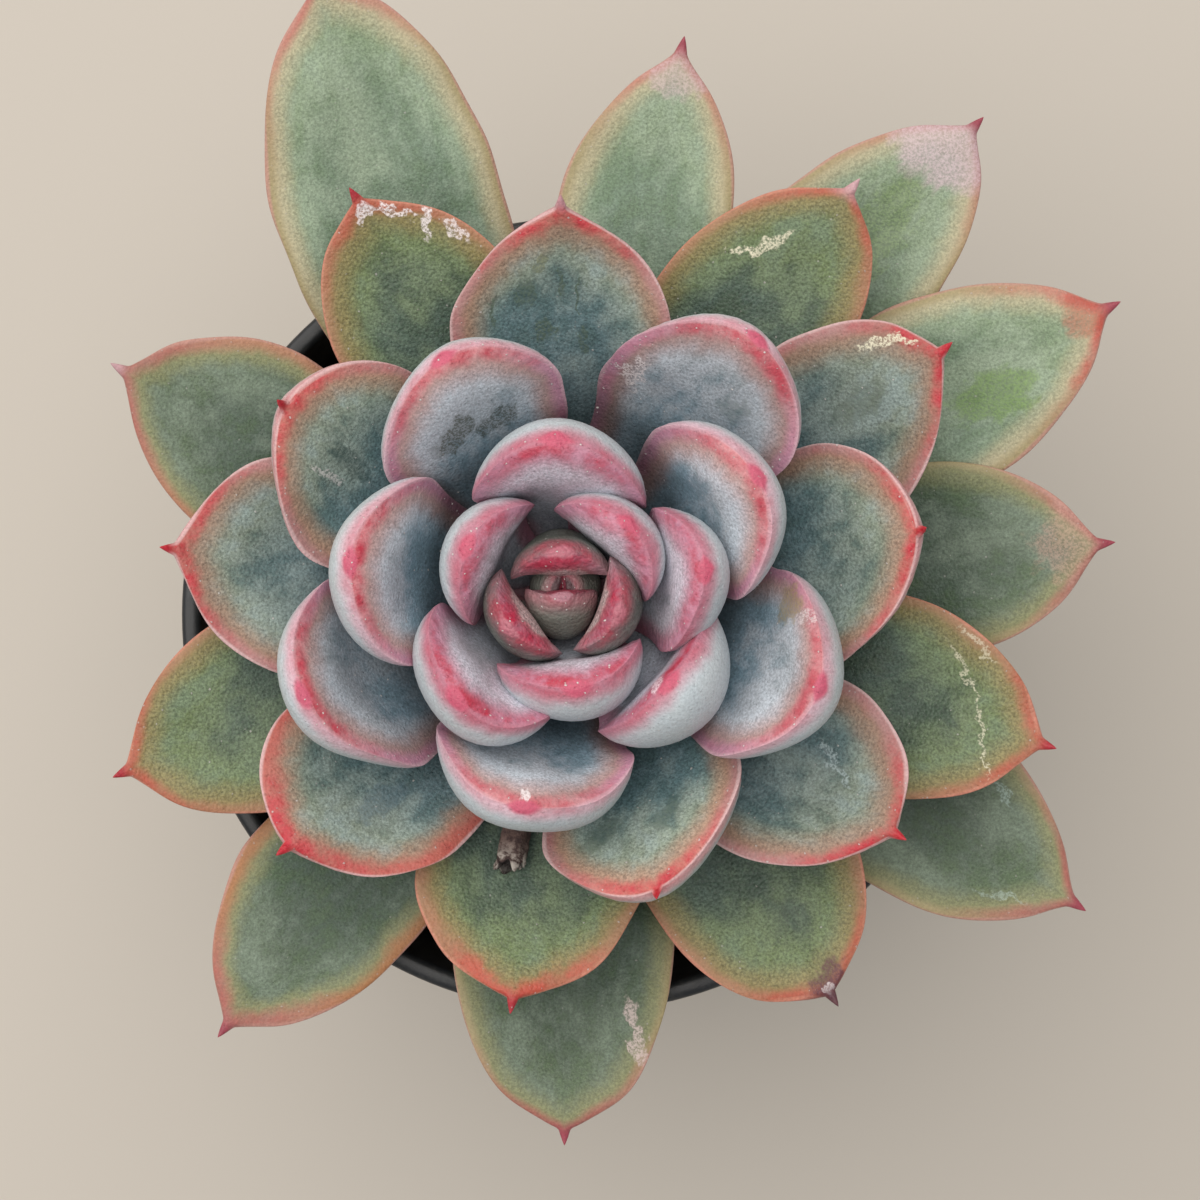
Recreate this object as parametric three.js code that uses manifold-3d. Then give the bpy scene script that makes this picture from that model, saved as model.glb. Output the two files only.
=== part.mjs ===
// A potted Echeveria pulidonis: a rosette of 43 fleshy, red-edged leaves on a short stem,
// growing in a round black plastic nursery pot.
// Units are millimetres and +Z is up. The origin is the middle of the flat underside of the pot.
// Every leaf is one closed solid: a lens-shaped section carried along a curved midrib, cupped
// across its width, narrow at the stem, broad in its upper half and ending in a small pointed tip.

import * as THREE from 'three';
import { mergeVertices } from 'three/addons/utils/BufferGeometryUtils.js';
import Module from 'manifold-3d';

const wasm = await Module();
wasm.setup();

// Driving dimensions of the pot
const POT_HEIGHT = 78;
const POT_TOP_RADIUS = 43.8;
const POT_BASE_RADIUS = 31;
const POT_WALL = 1;
const LIP_RADIUS = 45;
const LIP_DROP = 5;
const LIP_ROUNDING = 0.8;
const LIP_INNER_RADIUS = 42.9;
const BASE_CHAMFER = 1.5;
const FLOOR_THICKNESS = 1.5;
const DRAIN_HOLES = 6;
const DRAIN_RADIUS = 3.5;
const DRAIN_CIRCLE = 22;
const DRAIN_SIDES = 12;
const POT_SIDES = 48;

// Driving dimensions of the soil and of the short stem that stands in it
const CLEARANCE = 0.3;
const SOIL_BELOW_RIM = 9;
const SOIL_MOUND = 2;
const SOIL_SHOULDER_SHARE = 0.85;
const SOIL_SLOPE_SHARE = 0.5;
const SOIL_SIDES = 36;
const STEM_SIDES = 14;
const STEM_NECK_RADIUS = 5;
const STEM_BURIED = 14;
const STEM_FOOT_RADIUS = 3;
const STEM_HOLE_CLEARANCE = 0.45;

// The rosette's axis stands a little off the pot's axis
const AXIS = new THREE.Vector2(-1.5, 2.7);

// Rules that all leaves share, where age runs from 0 for the outermost leaf to 1 for the innermost
const ROOT_OUTER_RADIUS = 9.5;
const ROOT_INNER_RADIUS = 1;
const ROOT_NARROWING = 0.8;
const STEM_SHARE = 0.96;
const STEM_SETBACK = 0.75;
const ROOT_LOWEST = -3;
const ROOT_HIGHEST = 21;
const OUTER_WIDEST_AT = 0.62;
const INNER_WIDEST_AT = 0.7;
const SWELLING_POWER = 1.5;
const ROOT_WIDTH_SHARE = 0.42;
const BLUNTNESS = 0.6;
const PLUMP_FROM = 0.33;
const PLUMP_UNTIL = 0.58;
const OUTER_THICKEST = 4.6;
const INNER_THICKEST = 6.8;
const THICKEST_AT = 0.55;
const TAPER_FROM = 0.45;
const TIP_TAPER = 0.68;
const TIP_ROUNDING = 0.5;
const OUTER_THICKNESS_PER_WIDTH = 0.27;
const INNER_THICKNESS_PER_WIDTH = 0.33;
const THICKNESS_LIMIT = 1.9;
const ROOT_THICKNESS_SHARE = 0.62;
const OUTER_FRONT_SHARE = 0.35;
const INNER_FRONT_SHARE = 0.45;
const OUTER_EDGE = 1;
const INNER_EDGE = 1.25;
const MUCRO_LENGTH = 1.8;
const BUD_MUCRO_LENGTH = 0.8;
const MUCRO_HALF_WIDTH = 0.75;
const MUCRO_BLEND = 1.6;
const BUD_LEAVES = 20;
const OUTER_RIB_HANDLES = 0.36;
const INNER_ROOT_HANDLE = 0.5;
const INNER_TIP_HANDLE = 0.55;
const ROOT_SLOPE_LEAST = 7.5;
const ROOT_SLOPE_SHARE = 0.45;
const INNER_ROOT_SLOPE = 20;

// Stations along a leaf, as shares of its length, and sides of its section
const STATIONS = [0, 0.15, 0.3, 0.45, 0.58, 0.7, 0.81, 0.89, 0.945];
const SECTION_SIDES = 10;

// Points closer than this are one point, and cut edges shorter than this are smoothed away
const WELD = 1e-4;
const SHORTEST_EDGE = 0.06;

// The leaves from the outermost to the innermost. bearing is the compass angle of the leaf round the
// rosette's axis in degrees, counter-clockwise from +X. reach is how far its tip stands out from the
// axis and rise how high the tip stands over the pot's rim. lean is the slope of the midrib at the tip
// in degrees, past 90 where the leaf curls inward. cup is how far half the width is bent up, in
// radians. blunt is small on a round-ended leaf. sweep is how far the tip strays sideways.
const LEAVES = [
  { bearing: 51, reach: 69.5, rise: 8, width: 21.5, lean: 4, cup: 0.25, blunt: 0.68, sweep: -3 },
  { bearing: 116.8, reach: 69, rise: 14, width: 27, lean: 15, cup: 0.22, blunt: 0.58, sweep: -6.5 },
  { bearing: 269.5, reach: 61, rise: 8, width: 24.5, lean: 10, cup: 0.25, blunt: 0.56, sweep: 0.5 },
  { bearing: 28.3, reach: 67.8, rise: 13, width: 22, lean: 14, cup: 0.25, blunt: 0.72, sweep: -1 },
  { bearing: 331, reach: 67, rise: 9, width: 22.5, lean: 12, cup: 0.25, blunt: 0.76, sweep: -3 },
  { bearing: 77.8, reach: 62, rise: 10, width: 20, lean: 15, cup: 0.3, blunt: 0.78, sweep: 0 },
  { bearing: 231.7, reach: 62, rise: 9, width: 21.5, lean: 12, cup: 0.25, blunt: 0.68, sweep: 0.5 },
  { bearing: 3.6, reach: 60, rise: 12, width: 22.5, lean: 15, cup: 0.3, blunt: 0.72, sweep: 1.5 },
  { bearing: 156.5, reach: 55, rise: 12, width: 22.5, lean: 18, cup: 0.3, blunt: 0.72, sweep: -3 },
  { bearing: 304.5, reach: 53.5, rise: 15, width: 24, lean: 20, cup: 0.3, blunt: 0.53, sweep: -1 },
  { bearing: 58, reach: 54, rise: 17, width: 21.5, lean: 25, cup: 0.3, blunt: 0.62, sweep: -3.5 },
  { bearing: 200.3, reach: 52.8, rise: 13, width: 22.5, lean: 20, cup: 0.3, blunt: 0.72, sweep: 2 },
  { bearing: 341.7, reach: 55, rise: 18, width: 22.5, lean: 25, cup: 0.3, blunt: 0.68, sweep: 0.5 },
  { bearing: 113.8, reach: 48, rise: 20, width: 22, lean: 28, cup: 0.35, blunt: 0.62, sweep: 3.5 },
  { bearing: 264.5, reach: 45, rise: 20, width: 25.5, lean: 28, cup: 0.4, blunt: 0.55, sweep: -1.3 },
  { bearing: 25.4, reach: 48, rise: 22, width: 23, lean: 34, cup: 0.4, sweep: 6 },
  { bearing: 175.2, reach: 43, rise: 19, width: 24.5, lean: 30, cup: 0.4, blunt: 0.7, sweep: -1 },
  { bearing: 318.8, reach: 44, rise: 24, width: 23.2, lean: 40, cup: 0.45, sweep: 4 },
  { bearing: 90.3, reach: 41, rise: 25, width: 24.5, lean: 46, cup: 0.5, blunt: 0.7, sweep: 0 },
  { bearing: 227, reach: 40.5, rise: 24, width: 24.5, lean: 42, cup: 0.5, blunt: 0.56, sweep: -3 },
  { bearing: 4, reach: 37.7, rise: 28, width: 26, lean: 60, cup: 0.65, blunt: 0.58, sweep: 3.8 },
  { bearing: 151.5, reach: 35, rise: 28, width: 24, lean: 58, cup: 0.7, blunt: 0.58, sweep: -3.2 },
  { bearing: 295.7, reach: 32.6, rise: 29, width: 24.5, lean: 66, cup: 0.7, blunt: 0.62, sweep: -5 },
  { bearing: 53.7, reach: 32.2, rise: 31, width: 24, lean: 64, cup: 0.8, sweep: -1 },
  { bearing: 205, reach: 28.2, rise: 31, width: 24.5, lean: 86, cup: 0.9, sweep: -1.5 },
  { bearing: 339.5, reach: 27.8, rise: 32, width: 24, lean: 80, cup: 0.95, sweep: 0 },
  { bearing: 120.5, reach: 26.4, rise: 32, width: 23, lean: 66, cup: 0.85, sweep: -1.5 },
  { bearing: 260, reach: 22.5, rise: 32, width: 23.5, lean: 84, cup: 0.9, sweep: 0 },
  { bearing: 28, reach: 22.8, rise: 33.5, width: 22, lean: 76, cup: 0.95, sweep: 0.8 },
  { bearing: 174, reach: 21.4, rise: 34, width: 23, lean: 80, cup: 1, sweep: -0.5 },
  { bearing: 319, reach: 14, rise: 32, width: 19.5, lean: 122, cup: 0.85, sweep: 0 },
  { bearing: 88.5, reach: 14.9, rise: 33, width: 20.3, lean: 72, cup: 0.9, sweep: 1 },
  { bearing: 226, reach: 15.4, rise: 33, width: 19.5, lean: 80, cup: 1, sweep: 0 },
  { bearing: 4.5, reach: 14.5, rise: 33, width: 17, lean: 80, cup: 0.85, sweep: 0.8 },
  { bearing: 155, reach: 10.6, rise: 32, width: 16, lean: 80, cup: 0.9, sweep: 0 },
  { bearing: 279, reach: 10.2, rise: 32, width: 17.5, lean: 88, cup: 0.95, sweep: 0 },
  { bearing: 45, reach: 9.8, rise: 31.5, width: 15.5, lean: 72, cup: 0.95, sweep: 0 },
  { bearing: 215, reach: 6.6, rise: 31, width: 12, lean: 78, cup: 0.9, sweep: 0 },
  { bearing: 337, reach: 6.2, rise: 31, width: 12, lean: 80, cup: 0.9, sweep: 0 },
  { bearing: 92, reach: 4, rise: 30, width: 11.5, lean: 72, cup: 0.9, sweep: 0 },
  { bearing: 266, reach: 1, rise: 28.5, width: 7, lean: 100, cup: 0.8, sweep: 0 },
  { bearing: 10, reach: 1.4, rise: 27.5, width: 5.5, lean: 90, cup: 0.8, sweep: 0 },
  { bearing: 168, reach: 1.4, rise: 27, width: 5.5, lean: 90, cup: 0.8, sweep: 0 },
];

// The dry stub of the old flower stalk: its bearing, its route as [distance from the axis, height over
// the rim] pairs, and its radius at even steps along it
const STALK = {
  bearing: 258.8,
  route: [[6, 9], [15, 11.4], [24, 14.6], [30.5, 17]],
  radii: [1.2, 1.2, 1.25, 1.3, 1.4, 1.1],
  sides: 8,
};

// Plain finishes
const FINISH = {
  pot: new THREE.MeshStandardMaterial({ color: 0x16181a, roughness: 0.45, metalness: 0 }),
  soil: new THREE.MeshStandardMaterial({ color: 0x2a211a, roughness: 0.95, metalness: 0 }),
  stem: new THREE.MeshStandardMaterial({ color: 0x6f6a4c, roughness: 0.8, metalness: 0 }),
  dryStalk: new THREE.MeshStandardMaterial({ color: 0x5a4a40, roughness: 0.9, metalness: 0 }),
  outerLeaf: new THREE.Color(0x6f8a62),
  middleLeaf: new THREE.Color(0x7b9490),
  innerLeaf: new THREE.Color(0xb9828c),
};

const lerp = THREE.MathUtils.lerp;
const radians = THREE.MathUtils.degToRad;
const smoothstep = THREE.MathUtils.smoothstep;

// A closed solid from a three.js geometry, by its positions alone
function solidFrom(geometry) {
  const bare = new THREE.BufferGeometry();
  bare.setAttribute('position', geometry.getAttribute('position'));
  if (geometry.index) {
    bare.setIndex(geometry.index);
  }
  const merged = mergeVertices(bare, WELD);
  return new wasm.Manifold(new wasm.Mesh({
    numProp: 3,
    vertProperties: merged.attributes.position.array,
    triVerts: new Uint32Array(merged.index.array),
  }));
}

// A three.js geometry from a closed solid
function geometryFrom(solid) {
  const mesh = solid.getMesh();
  const geometry = new THREE.BufferGeometry();
  geometry.setAttribute('position', new THREE.BufferAttribute(mesh.vertProperties, mesh.numProp));
  geometry.setIndex(new THREE.BufferAttribute(mesh.triVerts, 1));
  return geometry;
}

// The largest separate body of a solid, which is what stays of a leaf when its neighbour is cut from it
function largestBody(solid) {
  const bodies = solid.decompose();
  return bodies.reduce((best, body) => (body.volume() > best.volume() ? body : best));
}

// A closed tube whose rings are lists of points in the same order, with a middle point at each end
function solidFromRings(rings, start, end) {
  const sides = rings[0].length;
  const positions = [];
  const triangles = [];
  rings.forEach((ring) => ring.forEach((point) => positions.push(point.x, point.y, point.z)));
  positions.push(start.x, start.y, start.z, end.x, end.y, end.z);
  const startIndex = rings.length * sides;
  const endIndex = startIndex + 1;
  for (let ring = 0; ring + 1 < rings.length; ring += 1) {
    for (let side = 0; side < sides; side += 1) {
      const next = (side + 1) % sides;
      const a = ring * sides + side;
      const b = ring * sides + next;
      triangles.push(a, b, a + sides, b, b + sides, a + sides);
    }
  }
  for (let side = 0; side < sides; side += 1) {
    const next = (side + 1) % sides;
    const last = (rings.length - 1) * sides;
    triangles.push(startIndex, next, side, endIndex, last + side, last + next);
  }
  const geometry = new THREE.BufferGeometry();
  geometry.setAttribute('position', new THREE.Float32BufferAttribute(positions, 3));
  geometry.setIndex(triangles);
  return solidFrom(geometry);
}

// How far from the rosette's axis the root of a leaf of some age stands
function rootRadius(age) {
  return ROOT_INNER_RADIUS + (ROOT_OUTER_RADIUS - ROOT_INNER_RADIUS) * (1 - age) ** ROOT_NARROWING;
}

// A measure that changes from an outer to an inner value as leaves grow plumper towards the heart
function between(age, outer, inner) {
  return lerp(outer, inner, smoothstep(age, PLUMP_FROM, PLUMP_UNTIL));
}

// The midrib in the upright plane of the leaf's bearing: x is the distance from the rosette's axis and
// y the height over the pot's rim. It leaves the stem at a shallow slope and reaches the tip at its lean.
function midrib(leaf, age) {
  const root = new THREE.Vector2(rootRadius(age), lerp(ROOT_LOWEST, ROOT_HIGHEST, age));
  const tip = new THREE.Vector2(leaf.reach, leaf.rise);
  const span = root.distanceTo(tip);
  const outerSlope = ROOT_SLOPE_LEAST + ROOT_SLOPE_SHARE * leaf.lean;
  const rootSlope = radians(between(age, outerSlope, INNER_ROOT_SLOPE));
  const tipSlope = radians(leaf.lean);
  const rootHandle = new THREE.Vector2(Math.cos(rootSlope), Math.sin(rootSlope));
  const tipHandle = new THREE.Vector2(Math.cos(tipSlope), Math.sin(tipSlope));
  rootHandle.multiplyScalar(between(age, OUTER_RIB_HANDLES, INNER_ROOT_HANDLE) * span);
  tipHandle.multiplyScalar(between(age, OUTER_RIB_HANDLES, INNER_TIP_HANDLE) * span);
  return new THREE.CubicBezierCurve(root, root.clone().add(rootHandle), tip.clone().sub(tipHandle), tip);
}

// How far a place has passed the widest part of a leaf towards the tip, from 0 to 1
function closingAt(age, u) {
  const widest = between(age, OUTER_WIDEST_AT, INNER_WIDEST_AT);
  return Math.max((u - widest) / (1 - widest), 0);
}

// Half the width of a leaf at a share of its length: it swells from a narrow root to the widest place,
// closes towards the tip, and goes on as the thin cone of the mucro
function halfWidth(leaf, age, share, mucroShare) {
  const u = Math.min(share / (1 - mucroShare), 1);
  const widest = between(age, OUTER_WIDEST_AT, INNER_WIDEST_AT);
  const swelling = Math.sin(Math.min(u / widest, 1) * Math.PI / 2) ** SWELLING_POWER;
  const rounding = (1 - closingAt(age, u) ** 2) ** (leaf.blunt ?? BLUNTNESS);
  const blade = lerp(ROOT_WIDTH_SHARE, 1, swelling) * rounding * leaf.width / 2;
  const mucro = MUCRO_HALF_WIDTH * THREE.MathUtils.clamp((1 - share) / (MUCRO_BLEND * mucroShare), 0, 1);
  return Math.cbrt(blade ** 3 + mucro ** 3);
}

// The full thickness of a leaf at a share of its length: flat leaves thin towards the tip, and plump
// ones stay full and close over it as a round dome
function thickness(leaf, age, share, mucroShare) {
  const u = Math.min(share / (1 - mucroShare), 1);
  const swelling = Math.sin(Math.min(u / THICKEST_AT, 1) * Math.PI / 2);
  const flat = 1 - TIP_TAPER * smoothstep(u, TAPER_FROM, 1);
  const dome = (1 - closingAt(age, u) ** 2) ** TIP_ROUNDING;
  const perWidth = between(age, OUTER_THICKNESS_PER_WIDTH, INNER_THICKNESS_PER_WIDTH);
  const full = Math.min(between(age, OUTER_THICKEST, INNER_THICKEST), perWidth * leaf.width);
  const blade = full * lerp(ROOT_THICKNESS_SHARE, 1, swelling) * between(age, flat, dome);
  return Math.min(blade, THICKNESS_LIMIT * halfWidth(leaf, age, share, mucroShare));
}

// One leaf as a closed solid. At each station along the midrib a lens-shaped section stands square to
// it: cos(phi) runs across the width, which is bent up on an arc, and sin(phi) gives the front and
// the back face. grow makes the leaf thicker all round, for cutting room for it out of its neighbours.
function leafSolid(leaf, index, grow = 0) {
  const age = index / (LEAVES.length - 1);
  const rib = midrib(leaf, age);
  const length = rib.getLength();
  const mucroLength = index < LEAVES.length - BUD_LEAVES ? MUCRO_LENGTH : BUD_MUCRO_LENGTH;
  const mucroShare = mucroLength / length;
  const bearing = radians(leaf.bearing);
  const outward = new THREE.Vector3(Math.cos(bearing), Math.sin(bearing), 0);
  const across = new THREE.Vector3(-Math.sin(bearing), Math.cos(bearing), 0);
  const up = new THREE.Vector3(0, 0, 1);
  const base = new THREE.Vector3(AXIS.x, AXIS.y, POT_HEIGHT);
  const bendRadius = leaf.width / 2 / leaf.cup;
  const frontShare = between(age, OUTER_FRONT_SHARE, INNER_FRONT_SHARE);
  const edgePower = between(age, OUTER_EDGE, INNER_EDGE);

  const place = (share) => {
    const point = rib.getPointAt(share);
    const slope = rib.getTangentAt(share);
    const forward = outward.clone().multiplyScalar(slope.x).addScaledVector(up, slope.y);
    const front = outward.clone().multiplyScalar(-slope.y).addScaledVector(up, slope.x);
    const middle = base.clone().addScaledVector(outward, point.x).addScaledVector(up, point.y);
    middle.addScaledVector(across, leaf.sweep * share ** 2);
    return { forward, front, middle };
  };

  const ring = (share) => {
    const { forward, front, middle } = place(share);
    if (share === 0) {
      middle.addScaledVector(forward, -grow);
    }
    const half = halfWidth(leaf, age, share, mucroShare);
    const thick = thickness(leaf, age, share, mucroShare);
    return Array.from({ length: SECTION_SIDES }, (_, side) => {
      const phi = side / SECTION_SIDES * Math.PI * 2;
      const lens = Math.abs(Math.sin(phi)) ** edgePower;
      const above = (thick * frontShare + grow) * lens;
      const below = (thick * (1 - frontShare) + grow) * lens;
      const lift = Math.sin(phi) > 0 ? above : -below;
      const bend = (half + grow) * Math.cos(phi) / bendRadius;
      const point = middle.clone();
      point.addScaledVector(across, bendRadius * Math.sin(bend) - lift * Math.sin(bend));
      point.addScaledVector(front, bendRadius * (1 - Math.cos(bend)) + lift * Math.cos(bend));
      return point;
    });
  };

  const tip = place(1);
  const shares = [...STATIONS, 1 - mucroShare];
  const root = place(0).middle.addScaledVector(place(0).forward, -grow);
  return solidFromRings(shares.map(ring), root, tip.middle.addScaledVector(tip.forward, grow));
}

// The radius of the stem where a leaf of some age stands on it, a little inside the leaf's root
function stemRadius(age) {
  return rootRadius(age) * STEM_SHARE - STEM_SETBACK;
}

// A closed round solid from a profile of [radius, height] pairs, read up the outside and back inside
function turned(profile, sides) {
  const points = profile.map(([radius, height]) => new THREE.Vector2(radius, height));
  return solidFrom(new THREE.LatheGeometry(points, sides).rotateX(Math.PI / 2));
}

// An upright cylinder from one height to another
function pin(radius, from, to, sides, x, y) {
  const geometry = new THREE.CylinderGeometry(radius, radius, to - from, sides).rotateX(Math.PI / 2);
  return solidFrom(geometry.translate(x, y, (from + to) / 2));
}

// The outer radius of the pot's wall at a height
function wallRadius(height) {
  return lerp(POT_BASE_RADIUS, POT_TOP_RADIUS, height / POT_HEIGHT);
}

// The pot: a thin tapering wall with a flat pierced floor and a rim that is turned outwards
function potSolid() {
  const lipFoot = POT_HEIGHT - LIP_DROP;
  let pot = turned([
    [0, 0],
    [POT_BASE_RADIUS - BASE_CHAMFER, 0],
    [wallRadius(BASE_CHAMFER), BASE_CHAMFER],
    [wallRadius(lipFoot), lipFoot],
    [LIP_RADIUS - LIP_ROUNDING / 2, lipFoot],
    [LIP_RADIUS, lipFoot + LIP_ROUNDING],
    [LIP_RADIUS, POT_HEIGHT - LIP_ROUNDING],
    [LIP_RADIUS - LIP_ROUNDING, POT_HEIGHT],
    [LIP_INNER_RADIUS + LIP_ROUNDING / 2, POT_HEIGHT],
    [LIP_INNER_RADIUS, POT_HEIGHT - LIP_ROUNDING],
    [wallRadius(FLOOR_THICKNESS) - POT_WALL, FLOOR_THICKNESS],
    [0, FLOOR_THICKNESS],
  ], POT_SIDES);
  for (let hole = 0; hole < DRAIN_HOLES; hole += 1) {
    const turn = hole / DRAIN_HOLES * Math.PI * 2;
    const x = DRAIN_CIRCLE * Math.cos(turn);
    const y = DRAIN_CIRCLE * Math.sin(turn);
    pot = pot.subtract(pin(DRAIN_RADIUS, -1, FLOOR_THICKNESS + 1, DRAIN_SIDES, x, y));
  }
  return pot;
}

// The stem: a root end in the soil, a neck, and the cone that carries the leaves
function stemSolid() {
  const soilTop = POT_HEIGHT - SOIL_BELOW_RIM;
  const foot = soilTop - STEM_BURIED;
  const ages = [0, 0.2, 0.4, 0.6, 0.8, 1];
  const cone = ages.map((age) => [stemRadius(age), POT_HEIGHT + lerp(ROOT_LOWEST, ROOT_HIGHEST, age)]);
  const stem = turned([
    [0, foot],
    [STEM_FOOT_RADIUS, foot],
    [STEM_NECK_RADIUS, soilTop - STEM_BURIED / 2],
    [STEM_NECK_RADIUS, soilTop + SOIL_MOUND + CLEARANCE],
    ...cone,
    [0, POT_HEIGHT + ROOT_HIGHEST],
  ], STEM_SIDES);
  return stem.translate([AXIS.x, AXIS.y, 0]);
}

// The soil fills the pot to below its rim, mounds up a little, and has a plain hole for the stem
function soilSolid() {
  const bottom = FLOOR_THICKNESS + CLEARANCE;
  const top = POT_HEIGHT - SOIL_BELOW_RIM;
  const inside = (height) => wallRadius(height) - POT_WALL - CLEARANCE;
  const bed = turned([
    [0, bottom],
    [inside(bottom) - CLEARANCE, bottom],
    [inside(top) - CLEARANCE, top - SOIL_MOUND / 2],
    [inside(top) * SOIL_SHOULDER_SHARE, top],
    [inside(top) * SOIL_SLOPE_SHARE, top + SOIL_MOUND / 2],
    [0, top + SOIL_MOUND],
  ], SOIL_SIDES);
  const holeRadius = STEM_NECK_RADIUS + STEM_HOLE_CLEARANCE;
  const holeFoot = top - STEM_BURIED - CLEARANCE;
  return bed.subtract(pin(holeRadius, holeFoot, top + SOIL_MOUND * 2, STEM_SIDES, AXIS.x, AXIS.y));
}

// The dry stub of an old flower stalk, which lies between two leaves and ends in a ragged flare
function stalkSolid(grow = 0) {
  const bearing = radians(STALK.bearing);
  const outward = new THREE.Vector3(Math.cos(bearing), Math.sin(bearing), 0);
  const across = new THREE.Vector3(-Math.sin(bearing), Math.cos(bearing), 0);
  const at = ([distance, height]) => new THREE.Vector3(AXIS.x, AXIS.y, POT_HEIGHT + height)
    .addScaledVector(outward, distance);
  const path = new THREE.CatmullRomCurve3(STALK.route.map(at));
  const rings = STALK.radii.map((radius, index) => {
    const share = index / (STALK.radii.length - 1);
    const middle = path.getPointAt(share);
    const forward = path.getTangentAt(share);
    const front = new THREE.Vector3().crossVectors(forward, across);
    return Array.from({ length: STALK.sides }, (_, side) => {
      const phi = side / STALK.sides * Math.PI * 2;
      return middle.clone()
        .addScaledVector(across, (radius + grow) * Math.cos(phi))
        .addScaledVector(front, (radius + grow) * Math.sin(phi));
    });
  });
  const start = path.getPointAt(0).addScaledVector(path.getTangentAt(0), -grow);
  const end = path.getPointAt(1).addScaledVector(path.getTangentAt(1), grow);
  return solidFromRings(rings, start, end);
}

// The rosette: each leaf gives way to the leaves inside it and to the dry stalk
function rosetteSolids() {
  const grown = LEAVES.map((leaf, index) => leafSolid(leaf, index, CLEARANCE));
  const stalk = stalkSolid(CLEARANCE);
  return LEAVES.map((leaf, index) => {
    const whole = leafSolid(leaf, index);
    const neighbours = [...grown.slice(index + 1), stalk];
    const touching = neighbours.filter((other) => whole.intersect(other).volume() > 0);
    const cut = touching.reduce((solid, other) => solid.subtract(other), whole);
    return largestBody(cut).simplify(SHORTEST_EDGE);
  });
}

function named(name, solid, material) {
  const mesh = new THREE.Mesh(geometryFrom(solid), material);
  mesh.name = name;
  return mesh;
}

// A leaf's colour runs from the green outer leaves over blue-grey to the pink heart
function leafMaterial(age) {
  const { outerLeaf, middleLeaf, innerLeaf } = FINISH;
  const color = age < 0.5
    ? outerLeaf.clone().lerp(middleLeaf, age * 2)
    : middleLeaf.clone().lerp(innerLeaf, age * 2 - 1);
  return new THREE.MeshStandardMaterial({ color, roughness: 0.55, metalness: 0 });
}

const plant = new THREE.Group();
plant.add(named('pot', potSolid(), FINISH.pot));
plant.add(named('soil', soilSolid(), FINISH.soil));
plant.add(named('stem', stemSolid(), FINISH.stem));
plant.add(named('dry_flower_stalk', stalkSolid(), FINISH.dryStalk));
rosetteSolids().forEach((solid, index) => {
  const number = String(index + 1).padStart(2, '0');
  plant.add(named(`leaf_${number}`, solid, leafMaterial(index / (LEAVES.length - 1))));
});

export default plant;
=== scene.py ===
"""A potted Echeveria pulidonis: the looks of the rosette, its soil and its black nursery pot.

Lengths inside the leaf and pot formulas are millimetres, and meshes are written in metres.
A leaf is worked out in blade coordinates: x runs across the blade from its midrib, s runs along it
from its root, and q is the distance from the margin, positive on the upper face and negative
underneath. Heights in the leaf formulas are counted from the rim of the pot.
"""

import bpy
import numpy as np
from bpy.props import FloatProperty, FloatVectorProperty, IntProperty, PointerProperty
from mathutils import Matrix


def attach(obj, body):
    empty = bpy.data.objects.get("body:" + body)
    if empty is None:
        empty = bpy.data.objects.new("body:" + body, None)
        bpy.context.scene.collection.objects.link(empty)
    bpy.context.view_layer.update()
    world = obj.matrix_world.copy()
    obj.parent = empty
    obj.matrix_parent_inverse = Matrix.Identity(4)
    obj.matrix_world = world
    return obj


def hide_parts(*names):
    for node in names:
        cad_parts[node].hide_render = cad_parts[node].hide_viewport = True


bl_info = {
    "name": "Potted Echeveria",
    "version": (1, 0, 0),
    "blender": (4, 5, 0),
    "location": "View3D > Sidebar > Echeveria",
    "description": "Grows a red-edged rosette in a black nursery pot",
    "category": "Add Mesh",
}

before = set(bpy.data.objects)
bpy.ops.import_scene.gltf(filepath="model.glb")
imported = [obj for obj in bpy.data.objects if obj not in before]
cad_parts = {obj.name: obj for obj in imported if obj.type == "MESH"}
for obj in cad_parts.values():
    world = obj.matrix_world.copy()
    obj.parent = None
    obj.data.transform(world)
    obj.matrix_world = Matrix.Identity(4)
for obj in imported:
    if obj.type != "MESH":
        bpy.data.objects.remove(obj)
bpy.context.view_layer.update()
MM = 0.001

# Where the parts of the plant stand, in millimetres
RIM_HEIGHT = 78.0
ROSETTE_AXIS = (-1.5, 2.7)

# The pot's rim, foot and drain holes, and the play left between the soil and the pot
LIP_RADIUS = 45.0
LIP_INNER_RADIUS = 42.9
LIP_DROP = 5.0
BASE_CHAMFER = 1.5
FLOOR_THICKNESS = 1.5
DRAIN_HOLES = 6
DRAIN_RADIUS = 3.5
DRAIN_CIRCLE = 22.0
SOIL_GAP = 0.3

# The stem: the height of its foot in the soil and of its neck, their radii, and how far inside the
# leaves' roots the skin of its crown stays, as a share and a length
STEM_FOOT = 55.0
STEM_FOOT_RADIUS = 3.0
NECK_LOW = 62.0
NECK_TOP = 71.3
NECK_RADIUS = 5.0
CROWN_SHARE = 0.96
CROWN_INSET = 0.75

# The dry stalk: its bearing round the rosette's axis, its route as (distance from the axis, height
# over the rim) and its radius at even steps
STALK_BEARING = 258.8
STALK_ROUTE = ((6, 9), (15, 11.4), (24, 14.6), (30.5, 17))
STALK_RADII = (1.2, 1.2, 1.3, 1.4, 1.6, 1.5)

# The rules of growth that every leaf shares; age runs from 0 outermost to 1 innermost. OUTER measures
# hold for the flat outer leaves and INNER ones for the plump inner leaves, with a smooth change between.
PLUMP_FROM = 0.33
PLUMP_UNTIL = 0.58

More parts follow.
